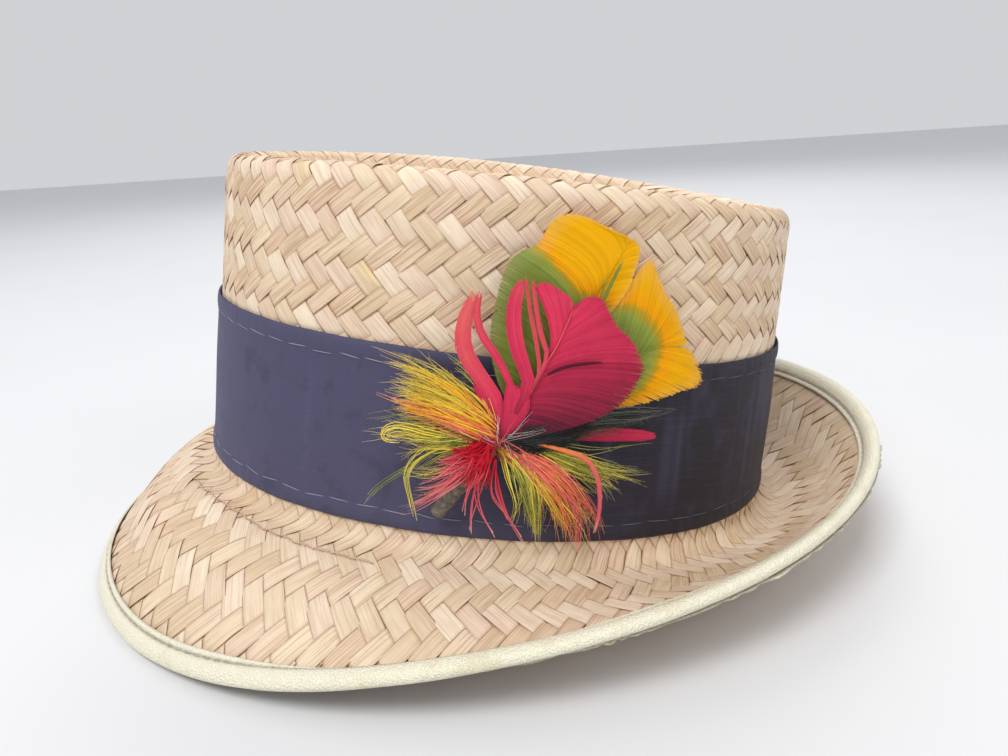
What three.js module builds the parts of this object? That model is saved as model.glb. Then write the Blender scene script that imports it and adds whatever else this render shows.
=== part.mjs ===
import * as THREE from 'three';

// A fedora of woven straw with a snap brim, a dished crown, a wide cloth band, a padded edge
// binding and a feather spray on the wearer's left.
//
// The pieces are made in the hat's own frame: x runs from the front (-) to the back (+),
// -y is the wearer's left, z runs up the crown's axis, and z = 0 is where the brim leaves the
// crown. The group at the end leans them back until the hat rests by itself on z = 0, with the
// origin under the middle of its box.

// ---- Driving dimensions, in millimetres ----

const SECTORS = 64;
const STRAW_WALL = 1.8;
const GAP = 0.3;
const BINDING_SLACK = 0.4;

const CROWN = {
  baseHalfLength: 99,
  baseHalfWidth: 82,
  topHalfLength: 94.5,
  topHalfWidth: 77,
  squareness: 2.12,
  backFullness: 0.05,
  frontHeight: 106,
  backHeight: 102.5,
  sideLift: 2,
  edgeRadius: 5.5,
};

const BRIM = {
  halfLength: 131.5,
  halfWidth: 126,
  shift: -2.2,
  squareness: 2.03,
  curl: 1.7,
  // Height of the edge round the hat: the mean, then the parts that turn once to four times.
  edgeHeight: [-0.3, 33.6, 0, -1.4, 1.2],
};

// The dished top, from the rim inwards: inset from the crown's outline, and drop below the rim.
const DISH = [
  { inset: 5.5, drop: 0 },
  { inset: 9, drop: 1.4 },
  { inset: 13.5, drop: 6 },
  { inset: 18, drop: 10 },
  { inset: 23, drop: 11.2 },
];

// The turn from the crown's side to the brim: distance out of the side, and height above it.
const BREAK = [
  { out: 0, up: 5.6 },
  { out: 0.6, up: 2.7 },
  { out: 2.2, up: 0.9 },
  { out: 5, up: 0.2 },
];

// The cloth band's section: distance out of the straw, and height from the band's lower edge.
// Its two folded hems are thicker than the cloth between them.
const BAND = { bottom: 5.8, height: 52.4, frontLift: 1.2 };
const BAND_SECTION = [
  { out: GAP, up: 0 },
  { out: GAP, up: 1 },
  { out: 1.8, up: 1 },
  { out: 1.8, up: 0.9 },
  { out: 1.3, up: 0.89 },
  { out: 1.3, up: 0.11 },
  { out: 1.8, up: 0.1 },
  { out: 1.8, up: 0 },
];

// The edge binding: a padded bead past the straw's edge, and a stitched flange on each face.
const BINDING = {
  slot: STRAW_WALL / 2 + BINDING_SLACK,
  slotEnd: BINDING_SLACK,
  noseCentre: 1.2,
  noseRadius: 2.05,
  noseSteps: 4,
  beadStart: -1,
  beadHalf: 2.2,
  grooveAt: -2.3,
  flangeEnd: -4.8,
  flangeHalf: 2,
};

// The spray is laid out on the wearer's left side of the crown: x and z as in the hat's frame,
// lift off the straw, half the width, and the thickness. A row is a section across the piece.
const SPRAY = {
  upper_feather: {
    material: 'green_yellow_feather',
    rows: [
      { x: -6, z: 43, lift: 5.4, half: 2, thick: 1.2 },
      { x: -1, z: 57, lift: 5.6, half: 10, thick: 1.6 },
      { x: 5.5, z: 70, lift: 5.6, half: 16, thick: 1.6 },
      { x: 11, z: 82, lift: 5.2, half: 17.5, thick: 1.6 },
      { x: 15.5, z: 91, lift: 4.8, half: 13, thick: 1.4 },
      { x: 17.5, z: 95.5, lift: 4.6, half: 5, thick: 1 },
    ],
  },
  side_feather: {
    material: 'green_yellow_feather',
    rows: [
      { x: -1, z: 42.5, lift: 3.4, half: 2, thick: 1.2 },
      { x: 10, z: 49, lift: 3.4, half: 7, thick: 1.4 },
      { x: 23, z: 56, lift: 3.4, half: 12, thick: 1.4 },
      { x: 34, z: 61, lift: 3.4, half: 15.5, thick: 1.4 },
      { x: 41.5, z: 64, lift: 3.4, half: 13.5, thick: 1.4 },
      { x: 46.5, z: 66, lift: 3.4, half: 6, thick: 1 },
    ],
  },
  crimson_feather: {
    material: 'crimson_feather',
    rows: [
      { x: -6.5, z: 42, lift: 8.2, half: 3, thick: 1.4 },
      { x: -2.5, z: 48.5, lift: 9, half: 15, thick: 1.8 },
      { x: 2, z: 57, lift: 9.4, half: 24, thick: 1.8 },
      { x: 5, z: 66, lift: 9.4, half: 24.5, thick: 1.8 },
      { x: 6.5, z: 75, lift: 9.2, half: 18, thick: 1.6 },
      { x: 7, z: 82, lift: 9, half: 9, thick: 1.2 },
    ],
  },
  small_red_feather: {
    material: 'crimson_feather',
    rows: [
      { x: 4, z: 41, lift: 6, half: 1.2, thick: 1.2 },
      { x: 18, z: 39.8, lift: 5, half: 2.2, thick: 1.2 },
      { x: 32, z: 38.4, lift: 4, half: 2.4, thick: 1.2 },
      { x: 40, z: 37.6, lift: 3.6, half: 1.6, thick: 1.2 },
    ],
  },
  front_hackle_tuft: {
    material: 'hackle',
    rows: [
      { x: -13, z: 41, lift: 5.8, half: 4, thick: 2.6 },
      { x: -21, z: 40.5, lift: 6.4, half: 11, thick: 5.6 },
      { x: -30, z: 39, lift: 6.4, half: 17, thick: 5.8 },
      { x: -37, z: 38, lift: 5.6, half: 18, thick: 4 },
      { x: -40, z: 38, lift: 5, half: 14, thick: 2 },
    ],
  },
  lower_hackle_tuft: {
    material: 'hackle',
    rows: [
      { x: -3, z: 34, lift: 6.2, half: 4, thick: 3 },
      { x: 3, z: 29, lift: 7.4, half: 9, thick: 6 },
      { x: 10, z: 22.5, lift: 7.8, half: 14, thick: 7 },
      { x: 16, z: 17, lift: 7.2, half: 14.5, thick: 5.6 },
      { x: 19, z: 14.5, lift: 6.6, half: 11, thick: 3 },
    ],
  },
  red_hackle_tuft: {
    material: 'red_hackle',
    rows: [
      { x: -10.5, z: 38, lift: 12.6, half: 5, thick: 3 },
      { x: -12.5, z: 31, lift: 13.8, half: 8, thick: 4.4 },
      { x: -14.5, z: 23, lift: 13.8, half: 12, thick: 4 },
      { x: -16, z: 16, lift: 13.2, half: 14.5, thick: 3 },
      { x: -16.5, z: 13.5, lift: 12.8, half: 12, thick: 1.6 },
    ],
  },
};
const PETAL_STEPS = 8;
const PETAL_SIDES = 8;

// The taped stem lies along the band, from its cut end up to the knot of the spray.
const STEM = {
  radius: 2.75,
  sides: 10,
  cutEnd: { x: -22.5, z: 14, lift: 4.5 },
  knot: { x: -8, z: 38, lift: 7.4 },
};

// A plain hidden pad holds the knot to the band.
const PAD = { x: -9, z: 36.5, radius: 5, inner: 1.9, outer: 3.5, sides: 24 };

// ---- Finishes ----

const finish = (name, color, roughness) => {
  return new THREE.MeshStandardMaterial({ name, color, roughness, metalness: 0 });
};

const MATERIALS = {
  straw: finish('straw', 0xd9bf94, 0.6),
  band_cloth: finish('band_cloth', 0x2b2833, 0.8),
  binding: finish('binding', 0xe2dcb8, 0.5),
  crimson_feather: finish('crimson_feather', 0xb8203f, 0.6),
  green_yellow_feather: finish('green_yellow_feather', 0xd9a514, 0.6),
  hackle: finish('hackle', 0xb7a52c, 0.7),
  red_hackle: finish('red_hackle', 0xb01c30, 0.7),
  stem_tape: finish('stem_tape', 0x5c5f52, 0.8),
  pad: finish('pad', 0x3a3a3a, 0.9),
};

// ---- The outlines and surfaces of the hat ----

const MEAN_HEIGHT = (CROWN.frontHeight + CROWN.backHeight) / 2;
const lerp = THREE.MathUtils.lerp;

// A point of an oval of unit size: a superellipse that is a little fuller at the back.
function unitOval(angle, squareness, fullness) {
  const along = Math.cos(angle);
  const across = Math.sin(angle);
  const x = Math.sign(along) * Math.abs(along) ** (2 / squareness);
  const y = Math.sign(across) * Math.abs(across) ** (2 / squareness);
  return { x, y: y * (1 + fullness * x) };
}

// A point of the crown's outer face at a height, moved in from it by an inset.
function crownPoint(angle, height, inset) {
  const share = height / MEAN_HEIGHT;
  const unit = unitOval(angle, CROWN.squareness, CROWN.backFullness);
  const halfLength = lerp(CROWN.baseHalfLength, CROWN.topHalfLength, share) - inset;
  const halfWidth = lerp(CROWN.baseHalfWidth, CROWN.topHalfWidth, share) - inset;
  return new THREE.Vector3(halfLength * unit.x, halfWidth * unit.y, height);
}

// The height of a plane that leans as the crown's top does, above a point at unit distance x.
function topPlane(x) {
  return lerp(CROWN.frontHeight, CROWN.backHeight, (1 + x) / 2);
}

function rimHeight(angle) {
  const { x } = unitOval(angle, CROWN.squareness, CROWN.backFullness);
  return topPlane(x) - CROWN.sideLift * (2 * x * x - 1);
}

// A point of the brim's upper face, from the crown's side (0) to the straw's edge (1).
function brimPoint(angle, share) {
  const last = BREAK[BREAK.length - 1];
  const start = crownPoint(angle, 0, -last.out);
  const unit = unitOval(angle, BRIM.squareness, 0);
  const height = BRIM.edgeHeight.reduce((sum, part, turns) => sum + part * Math.cos(turns * angle), 0);
  return new THREE.Vector3(
    lerp(start.x, BRIM.shift + BRIM.halfLength * unit.x, share),
    lerp(start.y, BRIM.halfWidth * unit.y, share),
    last.up + (height - last.up) * share ** BRIM.curl,
  );
}

// A point beside the crown on the wearer's left: x and z as in the hat's frame, lifted off the straw.
function sidePoint(x, z, lift) {
  const share = z / MEAN_HEIGHT;
  const halfLength = lerp(CROWN.baseHalfLength, CROWN.topHalfLength, share) + lift;
  const halfWidth = lerp(CROWN.baseHalfWidth, CROWN.topHalfWidth, share) + lift;
  const along = x / halfLength;
  const across = (1 - Math.abs(along) ** CROWN.squareness) ** (1 / CROWN.squareness);
  return new THREE.Vector3(x, -halfWidth * across * (1 + CROWN.backFullness * along), z);
}

// ---- Building closed faceted solids from rows of points ----

// Joins successive rows into one closed body. A row of one point is a pole. Rows that don't
// start and end in poles are joined last to first.
function solidFromRows(rows) {
  const geometry = new THREE.BufferGeometry();
  const starts = [];
  const positions = [];
  for (const row of rows) {
    starts.push(positions.length / 3);
    row.forEach((point) => positions.push(point.x, point.y, point.z));
  }
  const index = [];
  const joins = rows[0].length === 1 ? rows.length - 1 : rows.length;
  for (let i = 0; i < joins; i += 1) {
    const j = (i + 1) % rows.length;
    const count = Math.max(rows[i].length, rows[j].length);
    for (let k = 0; k < count; k += 1) {
      const next = (k + 1) % count;
      const a = starts[i] + (rows[i].length > 1 ? k : 0);
      const b = starts[i] + (rows[i].length > 1 ? next : 0);
      const c = starts[j] + (rows[j].length > 1 ? next : 0);
      const d = starts[j] + (rows[j].length > 1 ? k : 0);
      if (b !== a) index.push(a, b, c);
      if (d !== c) index.push(a, c, d);
    }
  }
  geometry.setAttribute('position', new THREE.Float32BufferAttribute(positions, 3));
  geometry.setIndex(signedVolume(positions, index) < 0 ? index.reverse() : index);
  geometry.computeVertexNormals();
  return geometry;
}

function signedVolume(positions, index) {
  const corner = (k) => new THREE.Vector3().fromArray(positions, 3 * index[k]);
  let volume = 0;
  for (let k = 0; k < index.length; k += 3) {
    volume += corner(k).dot(corner(k + 1).cross(corner(k + 2)));
  }
  return volume;
}

const ring = (pointAt) => Array.from({ length: SECTORS }, (_, k) => pointAt((k * 2 * Math.PI) / SECTORS));

const steps = (count) => Array.from({ length: count }, (_, k) => (k + 1) / count);

// ---- Straw body: crown and brim are one weave ----

// The rows of the straw's outer face, from the dish's flat floor to the brim's edge.
function strawOuterRows() {
  const floor = DISH[DISH.length - 1];
  const onDish = ({ inset, drop }) => ring((angle) => {
    const height = rimHeight(angle) - drop;
    const point = crownPoint(angle, height, inset);
    const flatness = (drop / floor.drop) ** 3;
    const plane = topPlane(point.x / CROWN.topHalfLength) - floor.drop;
    point.z = lerp(height, plane, flatness);
    return point;
  });
  const onEdge = (turn) => ring((angle) => {
    const inset = CROWN.edgeRadius * (1 - Math.sin(turn));
    const drop = CROWN.edgeRadius * (1 - Math.cos(turn));
    return crownPoint(angle, rimHeight(angle) - drop, inset);
  });
  const onSide = (share) => ring((angle) => {
    const top = rimHeight(angle) - CROWN.edgeRadius;
    return crownPoint(angle, lerp(top, BREAK[0].up, share), 0);
  });
  const onBreak = ({ out, up }) => ring((angle) => {
    const point = crownPoint(angle, 0, -out);
    point.z = up;
    return point;
  });
  const rows = DISH.map(onDish).reverse();
  steps(3).forEach((share) => rows.push(onEdge(share * Math.PI / 2)));
  steps(3).forEach((share) => rows.push(onSide(share)));
  BREAK.slice(1).forEach((row) => rows.push(onBreak(row)));
  steps(5).forEach((share) => rows.push(ring((angle) => brimPoint(angle, share))));
  return rows;
}

// The outward normal at each point of a grid of rows, from the points around it. The first row
// bounds the flat floor, so it takes the floor's own normal.
function gridNormals(rows) {
  const third = Math.floor(SECTORS / 3);
  const floor = new THREE.Plane().setFromCoplanarPoints(rows[0][0], rows[0][third], rows[0][2 * third]);
  return rows.map((row, i) => row.map((point, k) => {
    if (i === 0) return floor.normal.clone();
    const before = rows[i - 1][k];
    const after = rows[Math.min(i + 1, rows.length - 1)][k];
    const left = row[(k + SECTORS - 1) % SECTORS];
    const right = row[(k + 1) % SECTORS];
    const down = after.clone().sub(before);
    const round = right.clone().sub(left);
    return down.cross(round).normalize();
  }));
}

const strawRows = strawOuterRows();
const strawNormals = gridNormals(strawRows);

function strawBody() {
  const pole = (row) => {
    const centre = new THREE.Vector3();
    row.forEach((point) => centre.addScaledVector(point, 1 / row.length));
    return [centre];
  };
  const innerRows = strawRows.map((row, i) => row.map((point, k) => {
    return point.clone().addScaledVector(strawNormals[i][k], -STRAW_WALL);
  }));
  return solidFromRows([
    pole(strawRows[0]),
    ...strawRows,
    ...innerRows.reverse(),
    pole(innerRows[innerRows.length - 1]),
  ]);
}

// ---- Band and binding ----

function hatBand() {
  const rows = BAND_SECTION.map(({ out, up }) => ring((angle) => {
    const lift = BAND.frontLift * up * -Math.cos(angle);
    return crownPoint(angle, BAND.bottom + BAND.height * up + lift, -out);
  }));
  return solidFromRows(rows);
}

// The binding's section in the brim's own plane: out past the straw's edge, and up off its middle.
function bindingSection() {
  const { slot, slotEnd, noseCentre, noseRadius, beadStart, beadHalf, grooveAt, flangeEnd, flangeHalf } = BINDING;
  const upper = [
    { out: flangeEnd, up: flangeHalf },
    { out: grooveAt, up: flangeHalf },
    { out: beadStart, up: beadHalf },
  ];
  const nose = [0, ...steps(BINDING.noseSteps)].map((share) => ({
    out: noseCentre + noseRadius * Math.sin(share * Math.PI),
    up: noseRadius * Math.cos(share * Math.PI),
  }));
  const lower = upper.map(({ out, up }) => ({ out, up: -up })).reverse();
  const inside = [
    { out: flangeEnd, up: -slot },
    { out: slotEnd, up: -slot },
    { out: slotEnd, up: slot },
    { out: flangeEnd, up: slot },
  ];
  return [...upper, ...nose, ...lower, ...inside].reverse();
}

function brimBinding() {
  const last = strawRows.length - 1;
  const rows = bindingSection().map(({ out, up }) => strawRows[last].map((point, k) => {
    const normal = strawNormals[last][k];
    const outward = point.clone().sub(strawRows[last - 1][k]).normalize();
    return point.clone().addScaledVector(normal, up - STRAW_WALL / 2).addScaledVector(outward, out);
  }));
  return solidFromRows(rows);
}

// ---- Feather spray ----

// A closed form whose section runs along the table's rows: a feather, or a tuft's outer form.
function petal(rows) {
  const route = new THREE.CatmullRomCurve3(rows.map(({ x, z, lift }) => new THREE.Vector3(x, z, lift)));
  const size = new THREE.CatmullRomCurve3(rows.map(({ half, thick }) => new THREE.Vector3(half, thick, 0)));
  const sections = [0, ...steps(PETAL_STEPS)].map((share) => {
    const middle = route.getPoint(share);
    const way = route.getTangent(share);
    const length = Math.hypot(way.x, way.y);
    const { x: half, y: thick } = size.getPoint(share);
    return Array.from({ length: PETAL_SIDES }, (_, k) => {
      const turn = (k * 2 * Math.PI) / PETAL_SIDES;
      const across = half * Math.cos(turn);
      const up = (thick / 2) * Math.sin(turn);
      const x = middle.x - (way.y / length) * across;
      const z = middle.y + (way.x / length) * across;
      return sidePoint(x, z, middle.z + up);
    });
  });
  return solidFromRows(capped(sections));
}

// Closes a run of sections with a point at the middle of each end.
function capped(sections) {
  const middle = (section) => {
    const centre = new THREE.Vector3();
    section.forEach((point) => centre.addScaledVector(point, 1 / section.length));
    return [centre];
  };
  return [middle(sections[0]), ...sections, middle(sections[sections.length - 1])];
}

// A round bar between two points.
function bar(from, to, radius, sides) {
  const way = to.clone().sub(from);
  const geometry = new THREE.CylinderGeometry(radius, radius, way.length(), sides);
  geometry.applyQuaternion(new THREE.Quaternion().setFromUnitVectors(
    new THREE.Vector3(0, 1, 0),
    way.clone().normalize(),
  ));
  const middle = from.clone().add(to).multiplyScalar(0.5);
  return geometry.translate(middle.x, middle.y, middle.z);
}

function wrappedStem() {
  const { cutEnd, knot } = STEM;
  const from = sidePoint(cutEnd.x, cutEnd.z, cutEnd.lift);
  return bar(from, sidePoint(knot.x, knot.z, knot.lift), STEM.radius, STEM.sides);
}

function sprayPad() {
  const inner = sidePoint(PAD.x, PAD.z, PAD.inner);
  return bar(inner, sidePoint(PAD.x, PAD.z, PAD.outer), PAD.radius, PAD.sides);
}

// ---- The hat, leaned back until it rests ----

const hat = new THREE.Group();

function add(name, geometry, material) {
  const mesh = new THREE.Mesh(geometry, MATERIALS[material]);
  mesh.name = name;
  hat.add(mesh);
}

add('straw_body', strawBody(), 'straw');
add('hat_band', hatBand(), 'band_cloth');
add('brim_binding', brimBinding(), 'binding');
Object.entries(SPRAY).forEach(([name, { material, rows }]) => add(name, petal(rows), material));
add('wrapped_stem', wrappedStem(), 'stem_tape');
add('spray_pad', sprayPad(), 'pad');

// How much lower the front half's lowest point hangs than the back half's, at a lean.
function frontSag(lean) {
  const lowest = { front: Infinity, back: Infinity };
  for (const mesh of hat.children) {
    const position = mesh.geometry.getAttribute('position');
    for (let k = 0; k < position.count; k += 1) {
      const height = position.getZ(k) * Math.cos(lean) - position.getX(k) * Math.sin(lean);
      const half = position.getX(k) < 0 ? 'front' : 'back';
      lowest[half] = Math.min(lowest[half], height);
    }
  }
  return lowest.back - lowest.front;
}

function restingLean() {
  let low = 0;
  let high = Math.PI / 6;
  for (let round = 0; round < 40; round += 1) {
    const middle = (low + high) / 2;
    if (frontSag(middle) > 0) low = middle;
    else high = middle;
  }
  return low;
}

hat.rotation.y = restingLean();
hat.updateMatrixWorld(true);
const box = new THREE.Box3().setFromObject(hat, true);
hat.position.set(-(box.min.x + box.max.x) / 2, -(box.min.y + box.max.y) / 2, -box.min.z);

const fedora = new THREE.Group();
fedora.add(hat);
fedora.updateMatrixWorld(true);

export default fedora;
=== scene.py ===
"""Straw fedora with a cloth band, a rolled binding and a spray of dyed feathers."""

import math

import bmesh
import bpy
import numpy as np
from bpy.props import FloatProperty, FloatVectorProperty, IntProperty, PointerProperty
from mathutils import Matrix, Vector


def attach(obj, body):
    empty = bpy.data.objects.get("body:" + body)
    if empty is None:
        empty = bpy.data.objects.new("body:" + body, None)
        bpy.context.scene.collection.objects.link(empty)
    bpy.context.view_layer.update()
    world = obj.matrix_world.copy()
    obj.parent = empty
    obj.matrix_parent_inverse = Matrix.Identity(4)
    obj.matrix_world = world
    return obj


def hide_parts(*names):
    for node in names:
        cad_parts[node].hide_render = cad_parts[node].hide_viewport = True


bl_info = {
    "name": "Straw fedora",
    "version": (1, 0, 0),
    "blender": (4, 5, 0),
    "location": "View3D > Sidebar > Hat",
    "description": "Weaves, trims and stages a straw fedora with a feather spray",
    "category": "Object",
}

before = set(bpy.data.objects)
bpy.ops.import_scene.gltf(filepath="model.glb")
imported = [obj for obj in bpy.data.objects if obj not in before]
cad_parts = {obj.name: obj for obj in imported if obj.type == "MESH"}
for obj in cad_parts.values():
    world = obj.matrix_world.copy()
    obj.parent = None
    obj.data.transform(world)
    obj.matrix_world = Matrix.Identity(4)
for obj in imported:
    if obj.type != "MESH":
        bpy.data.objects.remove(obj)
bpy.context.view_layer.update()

# Hat shape, in millimetres on the hat's own axes: front is -x, wearer's left is -y, z runs up the
# crown from where the brim leaves it. The hat rests tipped back, so a lean and a lift come last.
LEAN = math.radians(8.256356)
REST_AT = (1.38031, 0.0, 16.53554)
MEAN_HEIGHT = 104.25
BASE = (99.0, 82.0)
TOP = (94.5, 77.0)
SQUARENESS = 2.12
FULLNESS = 0.05
FRONT_HEIGHT = 106.0
BACK_HEIGHT = 102.5
SIDE_LIFT = 2.0
EDGE_RADIUS = 5.5
DISH = ((5.5, 0.0), (9.0, 1.4), (13.5, 6.0), (18.0, 10.0), (23.0, 11.2))
BRIM_HALF = (131.5, 126.0)
BRIM_SHIFT = -2.2
BRIM_SQUARENESS = 2.03
BRIM_CURL = 1.7
EDGE_WAVES = (-0.3, 33.6, 0.0, -1.4, 1.2)
BAND_BOTTOM = 5.8
BAND_HEIGHT = 52.4
BAND_FRONT_LIFT = 1.2
# The band's cloth laid flat, in metres: its width with both turned-in hems, and its length.
BAND_FLAT = (0.062, 0.573)

# Weave of the crown: strips a side of the square top, rows down the wall, and the row pitch.
TOP_RINGS = 20
WALL_ROWS = 27
ROW_PITCH = 3.46
SAMPLES = 3
MM = 0.001
# Columns round each skin that the weave is read from.
COLUMNS = 240
# Rows of the crown's wall above the band, and the turn near which they crowd by this share.
SHOWN_ROWS = 14
CROWDED_AT = 0.03
CROWDING = 0.2


# ---------------------------------------------------------------- the hat's surfaces


def at_rest(points):
    """Points on the hat's own axes in millimetres, moved to where the hat rests, in metres."""
    points = np.asarray(points, float)
    x = points[..., 0] * math.cos(LEAN) + points[..., 2] * math.sin(LEAN)
    z = points[..., 2] * math.cos(LEAN) - points[..., 0] * math.sin(LEAN)
    return np.stack([x + REST_AT[0], points[..., 1] + REST_AT[1], z + REST_AT[2]], -1) * MM


def unit(vectors):
    """The same vectors at length one."""
    return vectors / np.maximum(np.linalg.norm(vectors, axis=-1, keepdims=True), 1e-9)


def square_to(vectors):
    """Flat vectors turned a quarter to the left."""
    return np.stack([-vectors[..., 1], vectors[..., 0]], -1)


def bent(start, control, end, t):
    """Points at t on an arc from start to end, pulled towards the control."""
    return start * (1 - t) ** 2 + control * 2 * t * (1 - t) + end * t**2


def run(line):
    """How far along a line of points each of them lies."""
    return np.concatenate([[0.0], np.cumsum(np.linalg.norm(np.diff(line, axis=0), axis=1))])


def oval(angle, squareness, fullness=0.0):
    """A squarish oval of half size one, a little fuller at the back."""
    c = np.cos(angle)
    s = np.sin(angle)
    x = np.sign(c) * np.abs(c) ** (2 / squareness)
    y = np.sign(s) * np.abs(s) ** (2 / squareness) * (1 + fullness * x)
    return x, y


def crown_point(angle, height, inset=0.0):
    """A point of the crown's outer wall, or inset from it."""
    share = height / MEAN_HEIGHT
    x, y = oval(angle, SQUARENESS, FULLNESS)
    half_length = BASE[0] + (TOP[0] - BASE[0]) * share - inset
    half_width = BASE[1] + (TOP[1] - BASE[1]) * share - inset
    return np.stack([half_length * x, half_width * y, height + 0 * x], -1)


def tip_plane(x):
    """Height of the sloping top at x, as a share of the half length."""
    return FRONT_HEIGHT + (BACK_HEIGHT - FRONT_HEIGHT) * (1 + x) / 2


def brim_point(angle, share):
    """A point of the brim's upper face, from the crown's foot to the edge."""
    start = crown_point(angle, 0.0 * angle, -5.0)
    x, y = oval(angle, BRIM_SQUARENESS)
    edge_height = sum(w * np.cos(k * angle) for k, w in enumerate(EDGE_WAVES))
    px = start[..., 0] + (BRIM_HALF[0] * x + BRIM_SHIFT - start[..., 0]) * share
    py = start[..., 1] + (BRIM_HALF[1] * y - start[..., 1]) * share
    return np.stack([px, py, 0.2 + (edge_height - 0.2) * share**BRIM_CURL], -1)


def even_angles(outline, turns):
    """Angles that cut a closed outline into equal lengths, from an eighth of a turn off the back."""
    fine = np.linspace(-math.pi, math.pi, 2881)
    length = run(outline(fine))
    wanted = (np.asarray(turns) - 0.125 + 0.5) % 1.0
    return np.interp(wanted, length / length[-1], fine)


def round_crown(height, turns):
    """Evenly spread angles round the crown at a height."""
    return even_angles(lambda a: crown_point(a, height + 0 * a), turns)


def round_brim(share, turns):
    """Evenly spread angles round the brim at a share of its width."""
    return even_angles(lambda a: brim_point(a, share + 0 * a), turns)


def along_line(line, places):
    """Points at the given lengths along a line of points."""
    length = run(line)
    return np.stack([np.interp(places, length, line[:, k]) for k in range(3)], -1)


def fine_line(points, passes):
    """The line through these points, read every half millimetre and eased, and its length."""
    line = np.array(points)
    length = run(line)[-1]
    line = along_line(line, np.linspace(0, length, int(length * 2)))
    for _ in range(passes):
        line[1:-1] = 0.25 * line[:-2] + 0.5 * line[1:-1] + 0.25 * line[2:]
    return line, length


def soft_step(value, low, high):
    """Nought before low, one past high and smooth between them. They may run either way."""
    t = np.clip((value - low) / (high - low), 0, 1)
    return t * t * (3 - 2 * t)


class Skin:
    """A closed surface of upright columns that can be read anywhere between its samples."""

    def __init__(self, points, depth):
        around = np.roll(points, -1, 0) - np.roll(points, 1, 0)
        normals = np.cross(np.gradient(points, axis=1), around)
        empty = np.linalg.norm(normals, axis=2) < 1e-6
        normals = unit(normals)
        normals[:, 0] = normals[:, 1]
        for row in range(1, points.shape[1]):
            normals[empty[:, row], row] = normals[empty[:, row], row - 1]
        self.tables = (points - normals * depth, normals)

    def read(self, turn, row):
        """Point and outward direction at a share of a turn and a row."""
        columns, rows = self.tables[0].shape[:2]
        u = (np.asarray(turn) % 1.0) * columns
        v = np.clip(row, 0, rows - 1.001)
        i = np.floor(u).astype(int)
        j = np.floor(v).astype(int)
        fu = (u - i)[..., None]
        fv = (v - j)[..., None]
        found = []
        for table in self.tables:
            near, far = (
                table[i % columns, k] * (1 - fu) + table[(i + 1) % columns, k] * fu for k in (j, j + 1)
            )
            found.append(near * (1 - fv) + far * fv)
        return found[0], unit(found[1])


CROWN_STEPS = 3
CROWN_NAMES = ("crown_strips_fore", "crown_strips_cross")
BRIM_NAMES = ("brim_strips_fore", "brim_strips_cross")


def crown_profile(angle):
    """The outer face down one side of the crown: tip centre, dish, rounded edge and wall.

    Gives the line and its length as far as the middle of the rounded edge.
    """
    x = float(oval(angle, SQUARENESS, FULLNESS)[0])
    depth = DISH[-1][1]
    rim = float(tip_plane(x)) - SIDE_LIFT * (2 * x * x - 1)
    inner = crown_point(angle, 93.0, DISH[-1][0])
    line = []
    for share in np.linspace(0.0, 1.0, 40)[:-1]:
        px = inner[0] * share
        line.append([px, inner[1] * share, tip_plane(px / TOP[0]) - depth])
    for inset, drop in reversed(DISH):
        p = crown_point(angle, rim - drop, inset)
        flat = tip_plane(p[0] / TOP[0]) - depth
        line.append([p[0], p[1], p[2] + (flat - p[2]) * (drop / depth) ** 3])
    to_edge = run(line)[-1]
    for turn in np.linspace(0.0, math.pi / 2, 9)[1:]:
        height = rim - EDGE_RADIUS * (1 - math.cos(turn))
        line.append(crown_point(angle, height, EDGE_RADIUS * (1 - math.sin(turn))))
    line.extend(crown_point(angle, height) for height in np.linspace(rim - EDGE_RADIUS, 3.0, 40)[1:])
    return fine_line(line, 6)[0], to_edge + EDGE_RADIUS * math.pi / 4


def away(turn, place):
    """How far a share of a turn is from a place on the way round, either way."""
    return (turn - place + 0.5) % 1.0 - 0.5


def crown_skin(depth):
    """The crown as a skin whose rows are the weave's rows."""
    turns = np.arange(COLUMNS) / COLUMNS
    rows = np.arange((TOP_RINGS + WALL_ROWS) * CROWN_STEPS + 4) / CROWN_STEPS
    share = np.minimum(rows / TOP_RINGS, 1.0)
    end = WALL_ROWS + 3
    columns = []
    for turn, angle in zip(turns, round_crown(100.0, turns)):
        line, to_edge = crown_profile(angle)
        ease = (to_edge - TOP_RINGS * ROW_PITCH) * 0.35
        top = to_edge * share + ease * share * (1 - share)
        shown = SHOWN_ROWS * (1 - CROWDING * math.exp(-((away(turn, CROWDED_AT) / 0.14) ** 2)))
        down = np.interp(rows - TOP_RINGS, (0, SHOWN_ROWS, WALL_ROWS, end), (0, shown, WALL_ROWS, end))
        columns.append(along_line(line, np.where(rows <= TOP_RINGS, top, to_edge + down * ROW_PITCH)))
    return Skin(np.array(columns), depth)


BRIM_ROWS = 62
# The turn from the crown's wall to the brim under the band: height, and distance out of the wall.
BREAK = ((10.0, 0.0), (8.0, 0.0), (5.6, 0.0), (2.7, 0.6), (0.9, 2.2))


def brim_skin(depth):
    """The brim as a skin with a row every millimetre from under the band, and each column's length."""
    columns = []
    lengths = []
    places = np.arange(BRIM_ROWS) * 1.0
    for angle in round_brim(0.6, np.arange(COLUMNS) / COLUMNS):
        line = [crown_point(angle, height, -out) for height, out in BREAK]
        line.extend(brim_point(np.float64(angle), share) for share in np.linspace(0.0, 1.0, 30))
        dense, length = fine_line(line, 4)
        onward = unit(dense[-1] - dense[-4])
        columns.append(along_line(dense, places) + np.maximum(places - length, 0)[:, None] * onward)
        lengths.append(length)
    return Skin(np.array(columns), depth), np.array(lengths)


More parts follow.
